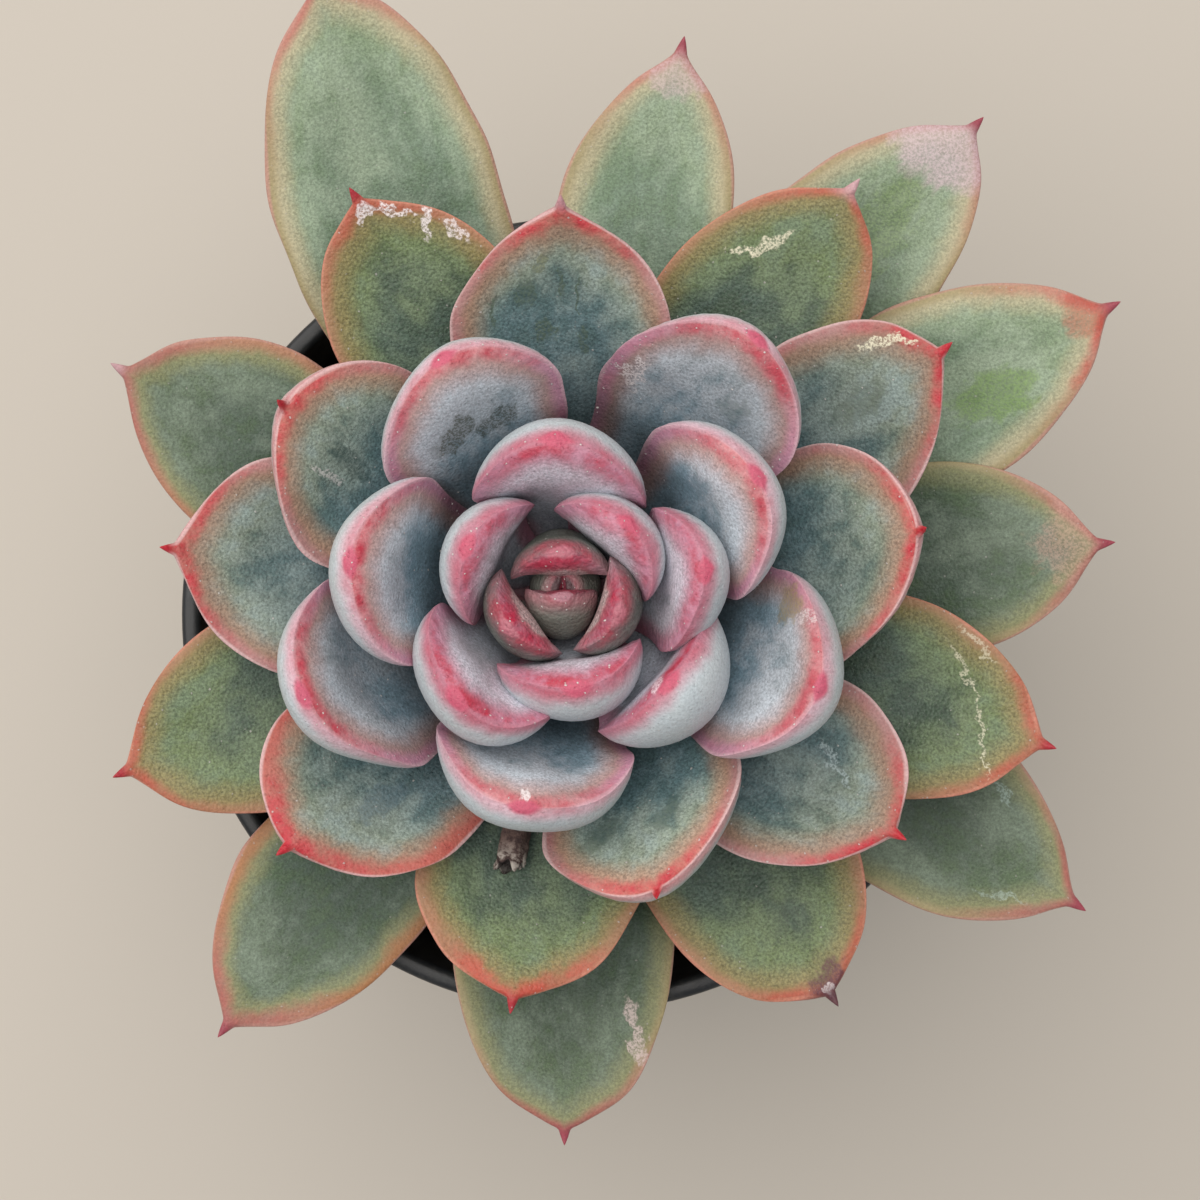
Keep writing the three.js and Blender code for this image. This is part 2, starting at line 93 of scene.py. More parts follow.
# Where leaves leave the stem, in millimetres, and the slopes and handles of the midrib's curve
ROOT_OUTER_RADIUS = 9.5
ROOT_INNER_RADIUS = 1.0
ROOT_NARROWING = 0.8
ROOT_LOWEST = -3.0
ROOT_HIGHEST = 21.0
ROOT_SLOPE_LEAST = 7.5
ROOT_SLOPE_SHARE = 0.45
INNER_ROOT_SLOPE = 20.0
OUTER_RIB_HANDLES = 0.36
INNER_ROOT_HANDLE = 0.5
INNER_TIP_HANDLE = 0.55

# The outline of a blade
OUTER_WIDEST_AT = 0.62
INNER_WIDEST_AT = 0.7
SWELLING_POWER = 1.5
ROOT_WIDTH_SHARE = 0.42

# The thickness of a blade, how it is shared between face and back, and how sharp the margin is
OUTER_THICKEST = 4.6
INNER_THICKEST = 7.4
OUTER_THICKNESS_PER_WIDTH = 0.27
INNER_THICKNESS_PER_WIDTH = 0.37
THICKNESS_LIMIT = 1.9
ROOT_THICKNESS_SHARE = 0.62
THICKEST_AT = 0.55
TAPER_FROM = 0.45
TIP_TAPER = 0.68
TIP_ROUNDING = 0.5
OUTER_FRONT_SHARE = 0.35
INNER_FRONT_SHARE = 0.45
OUTER_EDGE = 1.0
INNER_EDGE = 1.9

# The thorn at the tip, next to none on the innermost leaves, and the drawn-in place just before it
MUCRO_LENGTH = 1.8
MUCRO_HALF_WIDTH = 1.0
MUCRO_TAPER = 0.8
MUCRO_BLEND = 1.6
INNER_MUCRO_LENGTH = 0.002
THORNLESS_LEAVES = 20
TIP_PINCH = 0.3
TIP_PINCH_LENGTH = 2.2

# The relief of a blade: the lengths of its waves and lumps, the share by which its width wavers, and how
# far in from the margin the lumps reach. FLANKS_APART lets the two flanks waver each in its own way.
WAVER = 0.012
WAVER_LENGTH = 11.0
FLANKS_APART = 40.0
WAVE_LENGTH = 13.0
LUMP_LENGTH = 1.5
LUMP_REACH = 1.6

# The stone that crumbs and grains are made from: its longer measure to its shorter one, and its size
GOLDEN = (1 + 5**0.5) / 2
STONE_SIZE = 1.9

# How finely the round bodies are divided: their sides, and the stalk's rings along its outside and back
# down inside its open end
POT_SIDES = 180
HOLE_SIDES = 32
SOIL_RINGS = 60
SOIL_SIDES = 160
STEM_SIDES = 72
STALK_SIDES = 40
STALK_RINGS = 60
HOLLOW_RINGS = 8

# The stage: half the floor's width, the lamp's width and place in metres and its tilt in degrees, how far
# the camera stands beside the pot's axis, and its sensor and lens
FLOOR_HALF = 2000.0
LAMP_SIZE = 1.5
LAMP_PLACE = (-0.25, 0.3, 0.9)
LAMP_TILT = (-18, -15, 0)
CAMERA_ASIDE = (2.37, 1.69)
SENSOR_WIDTH = 36.0
FOCAL_LENGTH = 79.65


def paint(red, green, blue):
    """A colour given as 0 to 255 per channel on the screen, as the linear colour that shaders take."""
    screen = np.array((red, green, blue)) / 255
    linear = np.where(screen > 0.04045, ((screen + 0.055) / 1.055) ** 2.4, screen / 12.92)
    return (*(float(value) for value in linear), 1.0)


# Factors on a leaf's own colours: as they are, and a little cooler
EVEN = (1.0, 1.0, 1.0)
COOLER = (0.97, 1.02, 1.07)

# How a group of leaves is coloured. Widths and tip_reach are millimetres, and other numbers are amounts
# from 0 to 1 or shares of a leaf's length. under and under_band colour the back, blood is the strongest
# red of the band, flank the band far from the tip and flank_red how much of the red it keeps, edging
# how clear of red the very edge is, wax_tint and green are the waxed and the rubbed skin, tip is the
# pointed end. Two amounts and a span set painted shade: how dark the middle of a blade is painted, and
# how dark its skin is painted down in the cup, between the two shares of its length in the span. tints
# are factors on its base, flesh, blush and band.
OUTER_SKIN = {
    "under": paint(132, 146, 120), "under_band": paint(196, 150, 132), "blood": paint(190, 84, 78),
    "rim": paint(194, 144, 134), "tip": paint(158, 66, 82), "wax_tint": paint(176, 192, 176),
    "green": paint(92, 118, 56), "flank": paint(170, 156, 116), "band_width": 0.9, "blush_width": 4.4,
    "base_until": 0.5, "flesh_from": 0.95, "pit_shade": 0.8, "deep_shade": 0.9, "red": 0.35, "wax": 0.26,
    "rub": 0.3, "grain": 0.35, "flecks": 0.25, "tip_reach": 3.0, "edging": 0.6, "flank_red": 0.1,
    "pit_shade_span": (0.25, 0.62), "tints": (COOLER, COOLER, (1.06, 1.07, 1.1), (0.99, 0.98, 1.0)),
}
LOWER_SKIN = {
    "under": paint(134, 146, 130), "under_band": paint(200, 134, 120), "blood": paint(200, 70, 58),
    "rim": paint(214, 142, 120), "tip": paint(172, 34, 52), "wax_tint": paint(136, 158, 160),
    "green": paint(70, 84, 44), "flank": paint(172, 132, 100), "band_width": 1.0, "blush_width": 5.0,
    "base_until": 0.55, "flesh_from": 0.88, "pit_shade": 0.6, "deep_shade": 0.92, "red": 0.5, "wax": 0.2,
    "rub": 0.3, "grain": 0.6, "flecks": 0.4, "tip_reach": 2.6, "edging": 0.6, "flank_red": 0.15,
    "pit_shade_span": (0.25, 0.62), "tints": (COOLER, COOLER, (0.97, 0.98, 1.04), (0.88, 1.0, 0.99)),
}
MIDDLE_SKIN = {
    "under": paint(190, 200, 200), "under_band": paint(216, 168, 170), "blood": paint(196, 34, 56),
    "rim": paint(226, 196, 196), "tip": paint(190, 24, 44), "wax_tint": paint(166, 190, 200),
    "green": paint(66, 88, 72), "flank": paint(182, 136, 134), "band_width": 1.1, "blush_width": 5.4,
    "base_until": 0.5, "flesh_from": 0.88, "pit_shade": 0.36, "deep_shade": 0.86, "red": 0.95, "wax": 0.32,
    "rub": 0.35, "grain": 0.5, "flecks": 0.55, "tip_reach": 2.2, "edging": 0.6, "flank_red": 0.3,
    "pit_shade_span": (0.3, 0.66), "tints": (COOLER, EVEN, (0.93, 0.95, 0.92), (0.91, 1.03, 0.98)),
}
CUPPED_SKIN = {
    "under": paint(204, 213, 217), "under_band": paint(224, 190, 202), "blood": paint(186, 36, 62),
    "rim": paint(214, 172, 182), "tip": paint(204, 90, 116), "wax_tint": paint(192, 206, 216),
    "green": paint(80, 98, 90), "flank": paint(200, 146, 168), "band_width": 1.3, "blush_width": 6.0,
    "base_until": 0.45, "flesh_from": 0.85, "pit_shade": 0.22, "deep_shade": 0.8, "red": 0.85, "wax": 0.3,
    "rub": 0.3, "grain": 0.35, "flecks": 0.8, "tip_reach": 0.3, "edging": 0.4, "flank_red": 0.35,
    "pit_shade_span": (0.4, 0.68),
    "tints": ((1.0, 1.06, 1.12), (0.99, 1.02, 1.06), (0.82, 0.82, 0.8), (0.82, 0.84, 0.83)),
}
INNER_SKIN = CUPPED_SKIN | {
    "under_band": paint(198, 134, 152), "rim": paint(192, 132, 148), "blush_width": 4.6,
    "flank_red": 0.45, "pit_shade": 0.45, "pit_shade_span": (0.25, 0.5),
    "tints": ((1.0, 1.03, 1.06), (0.96, 0.99, 1.01), (0.8, 0.8, 0.82), (0.77, 0.81, 0.83)),
}
BUD_SKIN = {
    "under": paint(92, 98, 90), "under_band": paint(132, 104, 108), "blood": paint(180, 28, 62),
    "rim": paint(176, 146, 150), "tip": paint(186, 110, 124), "wax_tint": paint(180, 184, 180),
    "green": paint(90, 92, 84), "flank": paint(176, 142, 150), "band_width": 1.4, "blush_width": 3.0,
    "base_until": 0.4, "flesh_from": 0.8, "pit_shade": 0.85, "deep_shade": 0.9, "red": 0.9, "wax": 0.3,
    "rub": 0.1, "grain": 0.9, "flecks": 0.8, "tip_reach": 0.3, "edging": 0.1, "flank_red": 0.3,
    "pit_shade_span": (0.25, 0.5), "tints": (EVEN, EVEN, (0.84, 0.8, 0.8), (0.8, 0.82, 0.86)),
}

# The colours of each group of leaves in daylight, chosen in steps of five: its base, its flesh, the
# blush and the margin band
# LIT_TONES and SHADED_TONES are one colouring made lighter and darker: painted light on outer leaves 1, 2, 4
# and 6 and painted shade on outer leaves 3, 5, 7, 8 and 9
LIT_TONES = ((130, 145, 120), (155, 165, 130), (180, 170, 135), (200, 145, 125))
SHADED_TONES = ((75, 90, 75), (105, 115, 90), (135, 135, 95), (170, 120, 105))
LOWER_TONES = ((85, 100, 85), (120, 130, 85), (150, 135, 85), (195, 110, 85))
MIDDLE_TONES = ((95, 115, 115), (130, 140, 125), (165, 130, 115), (190, 100, 95))
CUPPED_TONES = ((115, 130, 135), (150, 150, 150), (170, 140, 140), (190, 130, 135))
INNER_TONES = ((135, 135, 140), (160, 150, 155), (170, 135, 145), (180, 120, 135))
BUD_TONES = ((125, 115, 115), (140, 120, 120), (145, 100, 105), (145, 90, 100))
# The heart leaves' own pinkish grey, darkened as painted shade deep in the middle of the rosette
SHADED_HEART_TONES = ((90, 75, 80), (100, 75, 80), (105, 70, 80), (105, 65, 75))
TONES = (
    # The outer leaves take painted light or painted shade by where they lie
    (LIT_TONES, LIT_TONES, SHADED_TONES, LIT_TONES, SHADED_TONES, LIT_TONES)
    + (SHADED_TONES,) * 3
    + (LOWER_TONES,) * 6
    + (MIDDLE_TONES,) * 8
    + (CUPPED_TONES,) * 7
    + (INNER_TONES,) * 7
    + (BUD_TONES,) * 3
    + (SHADED_HEART_TONES,) * 3
)

# The leaves in the order they grew. bearing is the compass angle of a leaf round the rosette's axis in
# degrees, counter-clockwise from +X; reach is how far its tip stands out and rise how high it stands
# over the rim; width is its greatest; lean is the slope of the midrib at the tip in degrees; cup is how
# far half the width is bent up, in radians; blunt is the power that closes the outline, less for a
# rounder tip; sweep is how far the tip strays sideways.
LEAF_MEASURES = ("bearing", "reach", "rise", "width", "lean", "cup", "blunt", "sweep")
LEAF_ROWS = (
    (51, 69.5, 8, 21.5, 4, 0.25, 0.68, -3),
    (117.4, 71.6, 14, 25.4, 15, 0.22, 0.58, -6.5),
    (269.5, 61, 8, 24.5, 10, 0.25, 0.56, 0.5),
    (28.3, 67.8, 13, 22, 14, 0.25, 0.72, -1),
    (331, 67, 9, 22.5, 12, 0.25, 0.76, -3),
    (77.8, 62, 10, 20, 15, 0.3, 0.78, 0),
    (231.7, 62, 9, 21.5, 12, 0.25, 0.68, 0.5),
    (3.6, 60, 12, 22.5, 15, 0.3, 0.72, 1.5),
    (156.5, 55, 12, 22.5, 18, 0.3, 0.72, -3),
    (304.5, 53.5, 15, 24, 20, 0.3, 0.53, -1),
    (58, 54, 17, 21.5, 25, 0.3, 0.62, -3.5),
    (200.3, 52.8, 13, 22.5, 20, 0.3, 0.72, 2),
    (341.7, 55, 18, 22.5, 25, 0.3, 0.68, 0.5),
    (113.8, 48, 20, 22, 28, 0.35, 0.62, 3.5),
    (264.5, 45, 20, 25.5, 28, 0.4, 0.55, -1.3),
    (25.4, 48, 22, 23, 34, 0.4, 0.6, 6),
    (175.2, 43, 19, 24.5, 30, 0.4, 0.7, -1),
    (318.8, 44, 24, 23.2, 40, 0.45, 0.6, 4),
    (90.3, 41, 25, 24.5, 46, 0.5, 0.82, 0),
    (227, 40.5, 24, 24.5, 42, 0.5, 0.56, -3),
    (4, 37.7, 28, 26, 60, 0.65, 0.58, 3.8),
    (151.5, 35, 28, 24, 58, 0.7, 0.58, -3.2),
    (295.7, 32.6, 29, 24.5, 66, 0.7, 0.62, -5),
    (53.7, 32.2, 31, 24, 64, 0.8, 0.6, -1),
    (205, 28.2, 31, 24.5, 86, 0.9, 0.6, -1.5),
    (339.5, 27.8, 32, 24, 80, 0.95, 0.6, 0),
    (120.5, 26.4, 32, 23, 66, 0.85, 0.6, -1.5),
    (260, 22.5, 32, 23.5, 84, 0.9, 0.6, 0),
    (28, 22.8, 33.5, 22, 76, 0.95, 0.6, 0.8),
    (174, 21.4, 34, 23, 80, 1, 0.6, -0.5),
    (319, 14, 32, 19.5, 122, 0.85, 0.6, 0),
    (88.5, 14.9, 33, 20.3, 72, 0.9, 0.6, 1),
    (226, 15.4, 33, 19.5, 80, 1, 0.6, 0),
    (4.5, 14.5, 33, 17, 80, 0.85, 0.6, 0.8),
    (155, 10.6, 32, 16, 80, 0.9, 0.6, 0),
    (279, 10.2, 32, 17.5, 88, 0.95, 0.6, 0),
    (45, 9.8, 31.5, 15.5, 72, 0.95, 0.6, 0),
    (215, 6.6, 31, 12, 78, 0.9, 0.6, 0),
    (337, 6.2, 31, 12, 80, 0.9, 0.6, 0),
    (92, 4, 30, 11.5, 72, 0.9, 0.6, 0),
    (266, 0.6, 28.5, 8.5, 105, 0.8, 0.6, 0),
    (20, 0.6, 27.5, 7, 100, 0.8, 0.6, 0),
    (158, 0.6, 27, 7, 100, 0.8, 0.6, 0),
)
LEAVES = tuple(dict(zip(LEAF_MEASURES, row)) for row in LEAF_ROWS)

# The first leaf of each group, and what is a leaf's own in its group's colouring
FIRST_LOWER = 10
FIRST_MIDDLE = 16
FIRST_CUPPED = 24
FIRST_INNER = 31
FIRST_BUD = 38
# The heart leaves' own pinkish grey with a dark rim, tip and flank, darkened throughout as painted shade
# deep in the middle
SHADED_HEART = {
    "red": 0.45, "under": paint(128, 132, 124), "under_band": paint(158, 116, 122),
    "rim": paint(84, 58, 64), "tip": paint(72, 50, 54), "flank": paint(110, 86, 92),
    "wax_tint": paint(148, 150, 142), "tints": (EVEN, EVEN, EVEN, EVEN),
}
OWN_SKINS = {
    4: {"red": 0.75, "band_width": 1.0, "blood": paint(200, 70, 60)},
    7: {"flank": paint(176, 124, 84), "band_width": 1.3, "red": 0.5},
    9: {"flank": paint(178, 128, 100), "band_width": 1.1, "tip": paint(190, 150, 156), "tip_reach": 2.4},
    10: {"tip": paint(86, 50, 60), "tip_reach": 3.6},
    11: {"tip": paint(206, 166, 172), "tip_reach": 3.2},
    15: {"red": 0.8, "band_width": 1.4},
    19: {"tip": paint(202, 150, 158), "tip_reach": 2.4},
    20: {"red": 0.95, "band_width": 1.5, "flank": paint(190, 104, 92)},
    30: {"red": 1.0},
    33: {"red": 1.0},
    36: {"red": 1.0, "flank_red": 0.7},
    38: {"red": 1.0, "flank_red": 0.6},
    39: {"red": 1.0},
    41: SHADED_HEART | {"tip": paint(176, 124, 136), "rim": paint(112, 84, 92)},
    42: SHADED_HEART,
    43: SHADED_HEART,
}

# How much paler a leaf's skin is held than it looks, by its number, as less light reaches the inner
# ones, and the brightest that a channel gets by it
PALER_FROM = (1, 15, 22, 26, 33, 37, 40, 41, 43)
PALER_BY = (0.97, 1.0, 1.12, 1.34, 1.46, 1.48, 1.34, 1.0, 1.0)
BRIGHTEST = 250

# Marks on the upper faces, by leaf: the place across and along the blade, half the length and half the
# width in millimetres, the turn in degrees, the strength, the raggedness, and the colour
CREAM = (228, 222, 196)
WHITE = (238, 228, 228)
DULL = (82, 98, 82)
MISTY = (176, 196, 188)
MARKS = {
    1: ((1, 57, 6, 8, 0, 0.75, 0.3, (208, 184, 192)), (0, 40, 12, 4, 0, 0.3, 0.5, (140, 166, 80))),
    3: ((8.6, 41.6, 5.0, 0.9, -14, 0.75, 0.6, (216, 196, 192)),),
    4: ((0.5, 57.5, 4, 3, 0, 0.6, 0.3, (180, 84, 66)), (-3, 44, 6, 3, 10, 0.5, 0.5, (112, 150, 40))),
    5: ((5.9, 44.7, 2.6, 0.4, 30, 0.5, 0.7, MISTY), (-4, 50, 3.4, 0.5, -20, 0.4, 0.7, MISTY)),
    6: ((0, 52, 5, 5, 0, 0.6, 0.4, (200, 176, 180)),),
    8: ((1, 48.5, 5, 5, 0, 0.45, 0.5, (196, 152, 140)),),
    10: ((0.7, 44.6, 2.2, 2.4, 0, 0.85, 0.5, (92, 52, 62)), (0.4, 45.2, 0.8, 0.6, 0, 0.9, 0.5, WHITE)),
    11: ((3.4, 37.2, 3.4, 0.7, 31, 0.9, 0.8, CREAM), (5.2, 35.0, 1.6, 0.6, 60, 0.9, 0.8, CREAM)),
    13: ((5.4, 37.5, 4.0, 0.34, 47, 0.6, 0.9, CREAM), (-0.9, 41.5, 5.6, 0.3, 65, 0.6, 0.9, CREAM),
         (8.2, 38.6, 3.4, 0.4, 30, 0.5, 0.9, CREAM)),
    14: ((0.1, 40.6, 1.6, 0.7, 60, 0.9, 0.7, WHITE), (-5.1, 37.4, 2.0, 0.6, 25, 0.9, 0.7, WHITE),
         (-2.6, 39.4, 3.4, 0.6, -58, 0.9, 0.8, WHITE), (-7.4, 35.0, 1.6, 0.6, -30, 0.8, 0.8, WHITE)),
    16: ((5.4, 37.2, 3.0, 0.6, 30, 0.9, 0.8, CREAM), (3.8, 39.9, 1.8, 0.6, 45, 0.9, 0.8, CREAM),
         (1.0, 33.0, 4.0, 1.8, 10, 0.4, 0.9, DULL)),
    18: ((3.2, 29.6, 3.0, 0.5, 20, 0.5, 0.8, (190, 206, 208)),),
    19: ((-1.9, 27.4, 2.8, 0.26, 12, 0.9, 0.5, DULL), (0.2, 29.2, 1.9, 0.44, -6, 0.85, 0.8, DULL),
         (4.3, 27.8, 1.9, 1.1, 10, 0.7, 0.9, DULL), (1.9, 23.9, 1.6, 1.2, 0, 0.8, 0.9, DULL),
         (7.8, 25.9, 2.2, 0.3, 0, 0.8, 0.6, DULL), (-2.2, 22.6, 2.0, 0.5, 0, 0.7, 0.9, DULL),
         (2.3, 31.6, 1.5, 0.9, 0, 0.5, 0.7, (112, 112, 72))),
    20: ((2.7, 26.1, 3.4, 1.8, 12, 0.5, 0.45, (98, 120, 132)),),
    22: ((0.3, 24.4, 4.0, 1.6, 10, 0.7, 0.9, (54, 74, 70)), (3.3, 26.4, 2.8, 0.4, -10, 0.45, 0.9, WHITE)),
    23: ((-6.0, 24.1, 3.4, 1.6, 60, 0.5, 0.9, DULL), (2.6, 25.8, 2.6, 1.2, 40, 0.5, 0.9, DULL)),
    24: ((9.2, 23.0, 3.4, 1.4, -10, 0.8, 0.9, WHITE), (-3, 27, 2.4, 2.0, 0, 0.35, 0.9, DULL)),
    26: ((8.2, 26.2, 3.2, 2.2, 10, 0.7, 0.6, (158, 140, 100)),
         (7.2, 30.0, 2.4, 0.9, 0, 0.6, 0.8, (222, 212, 212))),
    27: ((2.6, 22.2, 2.4, 4.2, -14, 0.8, 0.9, (88, 92, 78)),
         (-3.2, 20.2, 2.2, 3.6, -10, 0.8, 0.9, (80, 86, 76))),
    28: ((0, 28.2, 0.6, 0.6, 0, 0.9, 0.3, WHITE),),
    31: ((-0.8, 24.4, 1.6, 1.2, 0, 0.85, 0.7, (240, 220, 226)),),
}


class PotLook(bpy.types.PropertyGroup):
    """Sizes and colours of the pot."""

    height: FloatProperty(name="Height", description="Height of the pot", default=0.078, unit="LENGTH")
    base_radius: FloatProperty(
        name="Base radius", description="Outer radius of the wall at the foot", default=0.031, unit="LENGTH"
    )
    top_radius: FloatProperty(
        name="Top radius", description="Outer radius of the wall at the rim", default=0.0438, unit="LENGTH"
    )
    wall: FloatProperty(name="Wall", description="Thickness of the wall", default=0.001, unit="LENGTH")
    colour: FloatVectorProperty(
        name="Plastic", description="Colour of the plastic", subtype="COLOR", size=4,
        default=paint(38, 40, 43), min=0, max=1,
    )


class SoilLook(bpy.types.PropertyGroup):
    """Sizes and colour of the potting soil."""

    below_rim: FloatProperty(
        name="Below the rim", description="How far the soil's edge lies below the rim",
        default=0.009, unit="LENGTH",
    )
    crumbs: IntProperty(
        name="Crumbs", description="How many loose crumbs lie on it", default=900, min=0, max=3000
    )
    colour: FloatVectorProperty(
        name="Peat", description="Colour of the soil", subtype="COLOR", size=4,
        default=paint(58, 44, 34), min=0, max=1,
    )


class RosetteLook(bpy.types.PropertyGroup):
    """Form shared by all the leaves."""

    rings: IntProperty(name="Rings", description="Steps along a leaf", default=96, min=16, max=200)
    sides: IntProperty(name="Sides", description="Steps round a leaf", default=64, min=12, max=160)
    lumps: FloatProperty(
        name="Lumps", description="Height of the lumps on the margins", default=0.00004, unit="LENGTH"
    )
    unevenness: FloatProperty(
        name="Unevenness", description="Height of the slow waves in a blade", default=0.0002, unit="LENGTH"
    )


class StageLook(bpy.types.PropertyGroup):
    """Floor, lights and camera."""

    floor_colour: FloatVectorProperty(
        name="Floor", description="Colour of the floor", subtype="COLOR", size=4,
        default=paint(206, 198, 187), min=0, max=1,
    )
    sky: FloatProperty(name="Sky", description="Strength of the light from all round", default=0.4, min=0)
    window: FloatProperty(
        name="Window", description="Power of the large soft light", default=11.5, unit="POWER", min=0
    )
    camera_height: FloatProperty(
        name="Camera height", description="Height of the lens over the rim", default=0.3, unit="LENGTH"
    )


def smooth_step(value, low, high):
    """0 below low and 1 above high, with 3t squared less 2t cubed between them."""
    t = np.clip((value - low) / (high - low), 0, 1)
    return t * t * (3 - 2 * t)


def ripples(x, y, wavelength, seed, count=14):
    """A gentle random relief of about -1 to 1: plane waves near one wavelength, in seeded directions."""
    draw = np.random.default_rng(seed)
    turn = draw.uniform(0, 2 * np.pi, count)
    pace = 2 * np.pi / (wavelength * draw.uniform(0.7, 1.5, count))
    phase = draw.uniform(0, 2 * np.pi, count)
    total = np.zeros(np.broadcast(x, y).shape)
    for direction, step, start in zip(turn, pace, phase):
        total += np.sin((x * np.cos(direction) + y * np.sin(direction)) * step + start)
    return total / np.sqrt(count / 2)


def mesh_from(name, points, faces, material, fields=None):
    """A smooth piece from points in millimetres, its faces and its point attributes, in metres."""
    mesh = bpy.data.meshes.new(name)
    mesh.from_pydata((np.asarray(points) * MM).tolist(), [], faces)
    for title, values in (fields or {}).items():
        attribute = mesh.attributes.new(title, "FLOAT_VECTOR", "POINT")
        attribute.data.foreach_set("vector", np.ascontiguousarray(values, dtype=np.float32).ravel())
    mesh.polygons.foreach_set("use_smooth", np.ones(len(mesh.polygons), dtype=bool))
    mesh.materials.append(material)
    mesh.update()
    piece = bpy.data.objects.new(name, mesh)
    bpy.context.scene.collection.objects.link(piece)
    return piece


def tube_faces(rings, sides, start=None, end=None):
    """Quads between neighbouring rings of a closed tube, and a fan to a point at each given end."""
    ring, side = np.meshgrid(np.arange(rings - 1), np.arange(sides), indexing="ij")
    after = (side + 1) % sides
    corner = ring * sides
    quads = np.stack([corner + side, corner + after, corner + sides + after, corner + sides + side], -1)
    faces = quads.reshape(-1, 4).tolist()
    around = np.arange(sides)
    turn = np.roll(around, -1)
    if start is not None:
        faces += np.stack([turn, around, np.full(sides, start)], -1).tolist()
    if end is not None:
        last = (rings - 1) * sides
        faces += np.stack([last + around, last + turn, np.full(sides, end)], -1).tolist()
    return faces


def plumpness(age):
    """0 for the flat outer leaves, 1 for the plump inner ones."""
    return smooth_step(age, PLUMP_FROM, PLUMP_UNTIL)


def between(age, outer, inner):
    """A measure that changes from an outer to an inner value as leaves get plumper."""
    return outer + (inner - outer) * plumpness(age)


def root_place(age):
    """Where a leaf leaves the stem's crown: the distance from the axis falls with a power of the youth
    left, and the height over the rim rises evenly."""
    radius = ROOT_INNER_RADIUS + (ROOT_OUTER_RADIUS - ROOT_INNER_RADIUS) * (1 - age) ** ROOT_NARROWING
    return radius, ROOT_LOWEST + (ROOT_HIGHEST - ROOT_LOWEST) * age


def directions(bearing):
    """Unit vectors outward along a bearing in degrees, across it to the left, and up."""
    turn = np.radians(bearing)
    outward = np.array([np.cos(turn), np.sin(turn), 0])
    across = np.array([-np.sin(turn), np.cos(turn), 0])
    return outward, across, np.array([0, 0, 1.0])


def midrib(leaf, age, shares):
    """Points and slopes along the midrib at shares of its length, and the length.

    It is a cubic curve in the upright plane of the leaf: it leaves the stem at a shallow slope and
    reaches the tip at the leaf's lean. Each point is (distance from the axis, height over the rim).
    """
    root = np.array(root_place(age))
    tip = np.array([leaf["reach"], leaf["rise"]])
    span = np.linalg.norm(tip - root)
    outer_slope = ROOT_SLOPE_LEAST + ROOT_SLOPE_SHARE * leaf["lean"]
    root_slope = np.radians(between(age, outer_slope, INNER_ROOT_SLOPE))
    root_handle = between(age, OUTER_RIB_HANDLES, INNER_ROOT_HANDLE) * span
    tip_slope = np.radians(leaf["lean"])
    tip_handle = between(age, OUTER_RIB_HANDLES, INNER_TIP_HANDLE) * span
    leaving = root + root_handle * np.array([np.cos(root_slope), np.sin(root_slope)])
    arriving = tip - tip_handle * np.array([np.cos(tip_slope), np.sin(tip_slope)])
    t = np.linspace(0, 1, 400)[:, None]
    r = 1 - t
    curve = r**3 * root + 3 * r**2 * t * leaving + 3 * r * t**2 * arriving + t**3 * tip
    pull = 3 * r**2 * (leaving - root) + 6 * r * t * (arriving - leaving) + 3 * t**2 * (tip - arriving)
    walked = np.concatenate([[0], np.cumsum(np.linalg.norm(np.diff(curve, axis=0), axis=1))])
    at = np.interp(shares, walked / walked[-1], t[:, 0])
    points = np.stack([np.interp(at, t[:, 0], curve[:, axis]) for axis in (0, 1)], -1)
    slopes = np.stack([np.interp(at, t[:, 0], pull[:, axis]) for axis in (0, 1)], -1)
    return points, slopes / np.linalg.norm(slopes, axis=1, keepdims=True), walked[-1]


def mucro_length(age):
    """The length of the pointed end: a short thorn on the open leaves, next to none on the inner ones."""
    return MUCRO_LENGTH if age < 1 - THORNLESS_LEAVES / len(LEAVES) else INNER_MUCRO_LENGTH


def half_width(leaf, age, shares, mucro_share):
    """Half the width: a sine swelling to the widest place, a power of a parabola closing to the tip,
    drawn in a little just before it, and a blunt thorn for the pointed end, joined as the cube root
    of their cubes' sum."""
    u = np.minimum(shares / (1 - mucro_share), 1)
    widest_at = between(age, OUTER_WIDEST_AT, INNER_WIDEST_AT)
    swelling = np.sin(np.minimum(u / widest_at, 1) * np.pi / 2) ** SWELLING_POWER
    closing = np.maximum((u - widest_at) / (1 - widest_at), 0)
    rounding = (1 - closing**2) ** leaf["blunt"]
    from_tip = (1 - u) * mucro_length(age) / mucro_share
    pinch = TIP_PINCH * (1 - plumpness(age))
    rounding = rounding * (1 - pinch * np.exp(-((from_tip / TIP_PINCH_LENGTH) ** 2)))
    blade = (ROOT_WIDTH_SHARE + (1 - ROOT_WIDTH_SHARE) * swelling) * rounding * leaf["width"] / 2
    thorn = np.clip((1 - shares) / (MUCRO_BLEND * mucro_share), 0, 1) ** MUCRO_TAPER
    mucro = MUCRO_HALF_WIDTH * mucro_length(age) / MUCRO_LENGTH * thorn
    return np.cbrt(blade**3 + mucro**3)


